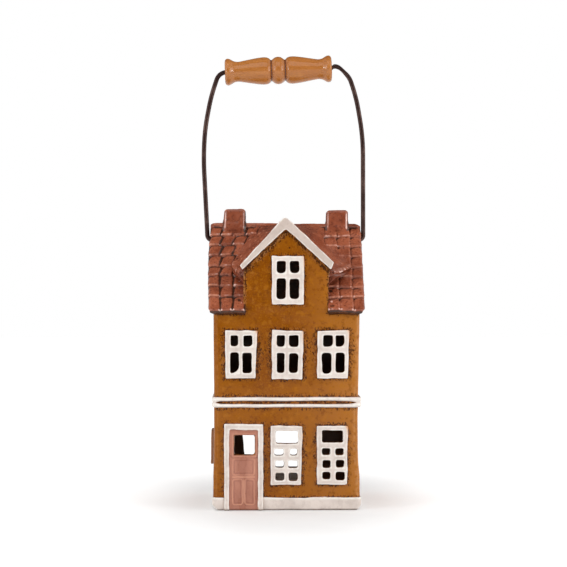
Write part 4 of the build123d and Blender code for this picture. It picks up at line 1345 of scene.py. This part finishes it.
level = around_front(-0.35)
along = np.cumsum(np.concatenate([[0], np.linalg.norm(np.diff(level, axis=0), axis=1)]))
rolls = []
for side, seed in ((1, 151), (-1, 152)):
    closing = np.where(level[:, 0] < 0, 2.8, 4.0)
    corner = np.exp(-(((np.abs(level[:, 0]) - HALF_WIDTH) / closing) ** 2) - (((level[:, 1] + HALF_DEPTH) / 6.0) ** 2))
    sag = -0.6 * np.clip(1 - (level[:, 0] / 40.0) ** 2, 0, 1) * (level[:, 1] < -HALF_DEPTH)
    middle = BAND_MIDDLE - 0.25 + side * (2.0 - 0.5 * corner) + sag + 0.14 * wave(along, 9, seed)
    rolls.append(tube_mesh(np.column_stack([level, middle]), 1.17 + 0.06 * side + 0.55 * corner, 1.6))
band = clay(
    "string_band",
    merged(rolls),
    ["string_band_front", "string_band_left", "string_band_right"],
    voxel=0.36,
    rounds=4,
    lump=0.1,
    lump_size=4,
    seed=153,
    edge_reach=0.2,
)
points = points_of(band.data)
beyond = np.stack([np.abs(points[:, 0]) - HALF_WIDTH + 2.6, -points[:, 1] - HALF_DEPTH + 2.6], axis=1)
out = np.linalg.norm(np.maximum(beyond, 0), axis=1) + np.minimum(beyond.max(axis=1), 0) - 2.6
put(band.data, "foot", np.clip(1 - out / 0.3, 0, 1))
# Painted highlight on the outer faces of the rolls
put(band.data, "rim", np.clip((out - 0.4) / 0.8, 0, 1))
dress(band, WHITE)



def plinth_shape(points):
    """Draws in the foot of the plinth and lets its top edge waver."""
    out = points.copy()
    draw = drawn_foot(points)
    out[:, 0] -= np.sign(points[:, 0]) * draw * np.clip((np.abs(points[:, 0]) - 36.0) / 8.0, 0, 1)
    out[:, 1] -= np.where(np.abs(points[:, 1]) > HALF_DEPTH - 1.0, np.sign(points[:, 1]) * 0.15 * draw, 0)
    along = points[:, 0] + points[:, 1]
    waver = 0.4 * wave(along, 11, 162) + 0.25 * wave(along, 4, 163) - 0.1
    out[:, 2] += np.clip((points[:, 2] - 5.5) / 2, 0, 1) * waver
    return round_uprights(out, 0.7)


plinth = clay(
    "plinth",
    node_mesh(*plinth_nodes),
    plinth_nodes,
    voxel=0.38,
    rounds=4,
    lump=0.12,
    lump_size=6,
    shape=plinth_shape,
    seed=161,
)
points = points_of(plinth.data)
put(plinth.data, "foot", np.clip((points[:, 2] - 6.9) / 1.2, 0, 1) * 0.4 + np.clip((0.9 - points[:, 2]) / 0.6, 0, 1) * 0.3)
# Painted highlight along the top edge of the plinth
put(plinth.data, "rim", np.exp(-(((points[:, 2] - 7.0) / 0.7) ** 2)))
put(plinth.data, "base", bare_foot_shadow(points))
dress(plinth, WHITE)


# Door leaf: a panelled slab in relief


def door_leaf():
    x0, z0, x1, z1 = LEAF_BOX
    x0 -= 0.3
    x1 += 0.3
    z1 += 0.3
    step = 0.28
    nx = int((x1 - x0) / step)
    nz = int((z1 - z0) / step)
    gx, gz = np.meshgrid(np.linspace(x0, x1, nx + 1), np.linspace(z0, z1, nz + 1), indexing="ij")
    x = gx.ravel()
    z = gz.ravel()
    rise = np.full_like(x, 0.75)
    ridge = np.zeros_like(x)
    shade = np.zeros_like(x)
    panels = ((-32.4, 21.2, -19.4, 30.8), (-32.4, 3.4, -26.6, 18.6), (-25.0, 3.4, -19.4, 18.6))
    for panel in panels:
        inset = (panel[0] + 1.3, panel[1] + 1.3, panel[2] - 1.3, panel[3] - 1.3)
        wavering = box_distance(x + 0.25 * wave(z, 5, 171), z + 0.2 * wave(x, 4, 172), inset) - 1.3
        ridge = np.maximum(ridge, 0.8 * np.exp(-((wavering / 0.6) ** 2)) * (0.75 + 0.35 * wave(x + z, 5, 175)))
        rise += np.where(wavering < -0.9, 0.18, 0.0)
        shade = np.maximum(shade, 0.5 * np.exp(-(((wavering + 1.0) / 0.5) ** 2)))
    rail = np.exp(-(((z - 19.9) / 0.6) ** 2)) * (np.abs(x + 25.9) < 6.8)
    ridge = np.maximum(ridge, 0.7 * rail)
    stile = np.exp(-(((x + 25.8) / 0.45) ** 2)) * np.clip((19.4 - z) / 1.5, 0, 1) * np.clip((z - 3.5) / 2, 0, 1)
    ridge = np.maximum(ridge, 0.6 * stile)
    light = box_distance(x, z, DOOR_LIGHT[0])
    ridge = np.maximum(ridge, 0.5 * np.exp(-(((light - 0.8) / 0.5) ** 2)))
    shade = np.maximum(shade, 0.6 * np.exp(-(((light - 1.9) / 0.5) ** 2)) * (z < DOOR_LIGHT[0][1]))
    rise += 0.42 * ridge
    rise -= 0.5 * np.exp(-((np.maximum(light, 0) / 0.4) ** 2))
    flat = np.stack([x, z, np.full_like(x, 5.0)], axis=1)
    rise += 0.1 * lumps(flat, 4, 173) + 0.04 * lumps(flat, 1.2, 174)
    front = np.stack([x, -HALF_DEPTH - rise, z], axis=1)
    back = np.stack([x, np.full_like(x, -HALF_DEPTH + 0.6), z], axis=1)
    shift = len(x)
    centre_x = 0.5 * (gx[:-1, :-1] + gx[1:, :-1])
    centre_z = 0.5 * (gz[:-1, :-1] + gz[:-1, 1:])
    solid = box_distance(centre_x, centre_z, DOOR_LIGHT[0]) > 0.1
    faces = []
    for i in range(nx):
        for j in range(nz):
            if not solid[i, j]:
                continue
            a = i * (nz + 1) + j
            b, c, d = a + nz + 1, a + nz + 2, a + 1
            faces.append((a, b, c, d))
            faces.append((d + shift, c + shift, b + shift, a + shift))
            for ni, nj, p, q in ((i - 1, j, d, a), (i + 1, j, b, c), (i, j - 1, a, b), (i, j + 1, c, d)):
                if not (0 <= ni < nx and 0 <= nj < nz) or not solid[ni, nj]:
                    faces.append((q, p, p + shift, q + shift))
    used = np.unique(np.array(faces).ravel())
    renumber = np.zeros(2 * shift, dtype=int)
    renumber[used] = np.arange(len(used))
    obj = new_object("door_leaf", np.concatenate([front, back])[used], [tuple(renumber[list(f)]) for f in faces])
    jamb = np.minimum(np.minimum(x - x0, x1 - x), z1 - z)
    # Paler ridges with a painted highlight; painted shade inside the panels' edges, under the door light and along the
    # frame
    mark = ridge - shade - 0.9 * np.exp(-((jamb / 0.7) ** 2))
    put(obj.data, "edge", np.concatenate([mark, np.zeros(shift)])[used])
    put(obj.data, "base", bare_foot_shadow(points_of(obj.data)))
    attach(obj, "house")
    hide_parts("door_leaf")
    dress(obj, PINK)


door_leaf()
dress(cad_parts["floor_slab"], CLAY)


# Grip and bail


def lathe(name, profile, sides, shape=None):
    """A body turned about x from (x, radius) points in millimetres, closed where the radius is 0."""
    profile = np.array(profile, dtype=float)
    verts = []
    for x, r in profile:
        for k in range(sides):
            turn = 2 * math.pi * k / sides
            verts.append((x, r * math.cos(turn), r * math.sin(turn)))
    faces = []
    count = len(profile)
    for i in range(count - 1):
        for k in range(sides):
            a = i * sides + k
            b = i * sides + (k + 1) % sides
            faces.append((a, b, b + sides, a + sides))
    verts = np.array(verts)
    if shape is not None:
        verts = shape(verts)
    return new_object(name, verts, faces)


def curve_through(points, count):
    """Points spread evenly along a smooth line through the given ones."""
    points = np.array(points, dtype=float)
    t = np.concatenate([[0], np.cumsum(np.linalg.norm(np.diff(points, axis=0), axis=1))])
    slope = np.gradient(points, t, axis=0)
    at = np.linspace(0, t[-1], count)
    k = np.clip(np.searchsorted(t, at, side="right") - 1, 0, len(t) - 2)
    h = (t[k + 1] - t[k])[:, None]
    u = ((at - t[k]) / (t[k + 1] - t[k]))[:, None]
    a = (1 + 2 * u) * (1 - u) ** 2 * points[k] + u * (1 - u) ** 2 * h * slope[k]
    return a + u**2 * (3 - 2 * u) * points[k + 1] + u**2 * (u - 1) * h * slope[k + 1]


BORE = 1.5
GRIP_STRETCH = 1.016
half_profile = [
    (5.5, 7.7), (6.4, 8.15), (7.6, 8.42), (8.9, 8.5), (11.5, 8.3), (15.0, 7.8), (18.5, 7.2), (21.6, 6.65),
    (25.0, 6.2), (27.2, 6.6), (29.0, 7.6), (30.4, 8.25), (31.4, 8.3), (32.2, 7.9), (32.7, 7.1),
]
bead_profile = [(0.0, 8.55), (1.0, 8.42), (1.9, 8.1), (2.7, 7.6), (3.4, 7.05), (3.9, 6.7)]
outer = [tuple(p) for p in curve_through(bead_profile, 14)]
outer += [(4.1, 6.6), (4.35, 6.6), (4.65, 6.85), (5.05, 7.25)]
outer += [tuple(p) for p in curve_through(half_profile, 90)]
outer += [(32.85, 6.2), (32.75, 4.0), (32.6, 2.0), (32.3, BORE)]
right_half = outer + [(20.0, BORE)]
left_half = [(-x, r) for x, r in reversed(right_half)]
grip_profile = left_half + right_half[1:] + [left_half[0]]
grip_profile = [(GRIP_STRETCH * x, r) for x, r in grip_profile]
grip = lathe("wooden_grip", grip_profile, 96)
points = points_of(grip.data)
reach = np.abs(points[:, 0])
radius = np.hypot(points[:, 1], points[:, 2])
burn = np.exp(-(((reach - 4.4) / 0.5) ** 2))
burn += np.where((reach > 32.3) & (radius < 7.0), 0.55, 0) + np.where((radius < BORE + 0.2), 1.0, 0)
put(grip.data, "burn", np.clip(burn + 0.12 * lumps(points, 3, 181) * (burn > 0.05), 0, 1))
grip.matrix_world = Matrix.Translation((-0.0045, 0, (PIVOT + 106.2) * MM)) @ Matrix.Rotation(-math.radians(2.0), 4, "Y")
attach(grip, "grip")
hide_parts("wooden_grip")
dress(grip, WOOD)


def eased(values, low, high):
    t = np.clip((values - low) / (high - low), 0, 1)
    return t * t * (3 - 2 * t)


def kinked(points):
    """Lifts the wire where it leaves the right end of the grip."""
    out = points.copy()
    lift = eased(points[:, 0], 28.2, 30.8) * (1 - eased(points[:, 0], 32.5, 38.5))
    out[:, 2] += 1.6 * lift * (points[:, 2] > PIVOT + 90)
    return out


wire_points = node_mesh("bail_wire")
wire_points.transform(Matrix.Scale(MM, 4))
wire_points.shade_smooth()
set_points(wire_points, kinked(points_of(wire_points) + 0.22 * normals_of(wire_points)))
bail = bpy.data.objects.new("bail_wire_form", wire_points)
scene.collection.objects.link(bail)
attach(bail, "bail")
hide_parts("bail_wire")
dress(bail, WIRE)
dress(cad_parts["wick_sustainer"], TIN)


# Tealight

FLOOR = 3.8


def upright(name, profile, sides, node, material, shape=None):
    """A turned piece of the tealight, from (height, radius) points over the floor slab."""
    obj = lathe(name, profile, sides, shape)
    points = points_of(obj.data)
    set_points(obj.data, np.stack([points[:, 1], -points[:, 2], points[:, 0] + FLOOR], axis=1))
    obj.data.flip_normals()
    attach(obj, "tealight")
    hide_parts(node)
    dress(obj, material)
    return obj


def fluted(points):
    turn = np.arctan2(points[:, 2], points[:, 1])
    side = np.clip((points[:, 0] - 1.2) / 1.5, 0, 1) * np.clip((14.5 - points[:, 0]) / 1.0, 0, 1)
    scale = 1 + 0.0035 * side * np.cos(turn * 60)
    out = points.copy()
    out[:, 1:] *= scale[:, None]
    return out


cup_profile = [(0.02, 0), (0.02, 15.0), (0.0, 17.2), (0.25, 18.0), (0.9, 18.45), (4, 18.6), (9, 18.7), (14.5, 18.8)]
cup_profile += [(14.8, 18.95), (15.15, 19.0), (15.4, 18.85), (15.35, 18.65), (15.0, 18.55), (14.5, 18.5), (11.0, 18.45)]
cup_profile += [(9.0, 18.4), (1.0, 18.15), (0.35, 17.6), (0.3, 0)]
upright("tealight_cup", cup_profile, 240, "tealight_cup", FOIL, fluted)
wax_profile = [(0.5, 0), (0.5, 17.4), (1.2, 18.0), (9.0, 18.35), (12.05, 18.4), (11.85, 18.1), (11.6, 17.2), (11.5, 15.0)]
wax_profile += [(11.45, 8.0), (11.5, 3.0), (11.65, 1.6), (11.9, 0.95), (12.0, 0.0)]
upright("tealight_wax", wax_profile, 96, "tealight_wax", WAX)


def bent(points):
    out = points.copy()
    lean = np.clip((points[:, 0] - 11.7) / 7.0, 0, 1)
    out[:, 1] += 0.9 * lean**2
    return out


wick_profile = [(0.7, 0), (0.7, 0.62)] + [(h, 0.64 + 0.04 * math.sin(5 * h)) for h in np.linspace(2, 17.9, 40)]
wick_profile += [(18.3, 0.5), (18.45, 0.2), (18.5, 0)]
upright("tealight_wick", wick_profile, 16, "tealight_wick", WICK, bent)


# Camera at the photograph's viewing angle

IMAGE = 567
FOCAL_PIXELS = 1583.0
DISTANCE = 992.0
LOOK = math.radians(1.0)
SIDE_STEP = 1.22
EYE_HEIGHT = 135.9
camera_data = bpy.data.cameras.new("camera")
camera_data.sensor_width = 36.0
camera_data.lens = FOCAL_PIXELS / IMAGE * camera_data.sensor_width
camera = bpy.data.objects.new("camera", camera_data)
scene.collection.objects.link(camera)
right = Vector((math.cos(LOOK), -math.sin(LOOK), 0))
ahead = Vector((math.sin(LOOK), math.cos(LOOK), 0))
camera.location = (-ahead * DISTANCE - right * SIDE_STEP + Vector((0, 0, EYE_HEIGHT))) * MM
camera.rotation_euler = (math.pi / 2, 0, -LOOK)
scene.camera = camera


# Floor, light and background


def floor_material():
    """Matt white paper that the camera and mirrors see bright, with the object's shadow kept on it, and a glow that
    fades towards the object: a painted soft shadow around it.
    """
    s = Shader("studio_floor")
    grain = s.noise(40, detail=2)
    s.finish(s.mix(s.ramp(grain, 0.3, 0.7), (0.86, 0.86, 0.86, 1), (0.88, 0.88, 0.88, 1)), 0.7, specular=0.1)
    rays = s.nodes.new("ShaderNodeLightPath").outputs
    seen = s.math("MAXIMUM", rays["Is Camera Ray"], rays["Is Glossy Ray"])
    seen = s.math("MAXIMUM", seen, rays["Is Transmission Ray"])
    s.base.inputs["Emission Color"].default_value = (1, 1, 1, 1)
    away = s.nodes.new("ShaderNodeVectorMath")
    away.operation = "LENGTH"
    squeeze = s.nodes.new("ShaderNodeMapping")
    squeeze.inputs["Scale"].default_value = (1.0, 0.47, 1.0)
    s.link(s.place, squeeze.inputs["Vector"])
    s.link(squeeze.outputs["Vector"], away.inputs[0])
    # Glow that fades towards the object: a painted soft shadow around it
    near = s.ramp(away.outputs["Value"], 0.045, 0.115, 0.08, 0.31)
    far = s.ramp(away.outputs["Value"], 0.1, 0.4, 0.0, 0.2)
    s.link(s.math("MULTIPLY", seen, s.math("ADD", near, far)), s.base.inputs["Emission Strength"])
    return s.material


floor = new_object("studio_floor", [(-3000, -3000, 0), (3000, -3000, 0), (3000, 3000, 0), (-3000, 3000, 0)], [(0, 1, 2, 3)])
floor.data.transform(Matrix.Translation((0, 0, -0.0002)))
dress(floor, floor_material())


def softbox(name, place, aim, size, power):
    light = bpy.data.lights.new(name, "AREA")
    light.shape = "RECTANGLE"
    light.size, light.size_y = size
    light.energy = power
    obj = bpy.data.objects.new(name, light)
    obj.location = place
    obj.rotation_euler = (Vector(aim) - Vector(place)).to_track_quat("-Z", "Y").to_euler()
    scene.collection.objects.link(obj)


softbox("left_box", (-0.95, -0.5, 0.5), (0, 0, 0.1), (0.7, 0.6), 2.0)
softbox("right_box", (0.95, -0.45, 0.5), (0, 0, 0.1), (0.7, 0.6), 3.0)
softbox("left_strip", (-0.9, -0.6, 0.36), (0, 0, 0.2), (0.05, 0.2), 0.95)
softbox("right_strip", (0.9, -0.55, 0.36), (0, 0, 0.2), (0.05, 0.2), 1.05)
softbox("top_box", (-0.1, -0.75, 1.15), (0, 0, 0.1), (1.3, 0.9), 6.0)


def studio_world():
    """White behind and to the sides, dim behind the camera, and plain white to the camera itself."""
    world = bpy.data.worlds.new("studio")
    scene.world = world
    world.use_nodes = True
    nodes = world.node_tree.nodes
    links = world.node_tree.links
    background = nodes["Background"]
    background.inputs["Color"].default_value = (1, 1, 1, 1)
    rays = nodes.new("ShaderNodeLightPath").outputs
    split = nodes.new("ShaderNodeSeparateXYZ")
    links.new(nodes.new("ShaderNodeTexCoord").outputs["Generated"], split.inputs[0])

    def graded(source, low, high, dim, bright):
        node = nodes.new("ShaderNodeMapRange")
        node.interpolation_type = "SMOOTHSTEP"
        for name, value in (("From Min", low), ("From Max", high), ("To Min", dim), ("To Max", bright)):
            node.inputs[name].default_value = value
        links.new(source, node.inputs["Value"])
        return node.outputs["Result"]

    def choose(factor, a, b):
        node = nodes.new("ShaderNodeMix")
        links.new(factor, node.inputs["Factor"])
        for source, socket in ((a, node.inputs[2]), (b, node.inputs[3])):
            if isinstance(source, float):
                socket.default_value = source
            else:
                links.new(source, socket)
        return node.outputs[0]

    aside = nodes.new("ShaderNodeMath")
    aside.operation = "ABSOLUTE"
    links.new(split.outputs["X"], aside.inputs[0])
    diffuse = graded(split.outputs["Y"], -0.6, 0.6, 0.3, 0.95)
    glossy = graded(aside.outputs[0], 0.35, 0.8, 0.05, 1.0)
    seen = nodes.new("ShaderNodeMath")
    seen.operation = "MAXIMUM"
    links.new(rays["Is Camera Ray"], seen.inputs[0])
    links.new(rays["Is Transmission Ray"], seen.inputs[1])
    strength = choose(rays["Is Glossy Ray"], diffuse, glossy)
    links.new(choose(seen.outputs[0], strength, 1.0), background.inputs["Strength"])


studio_world()
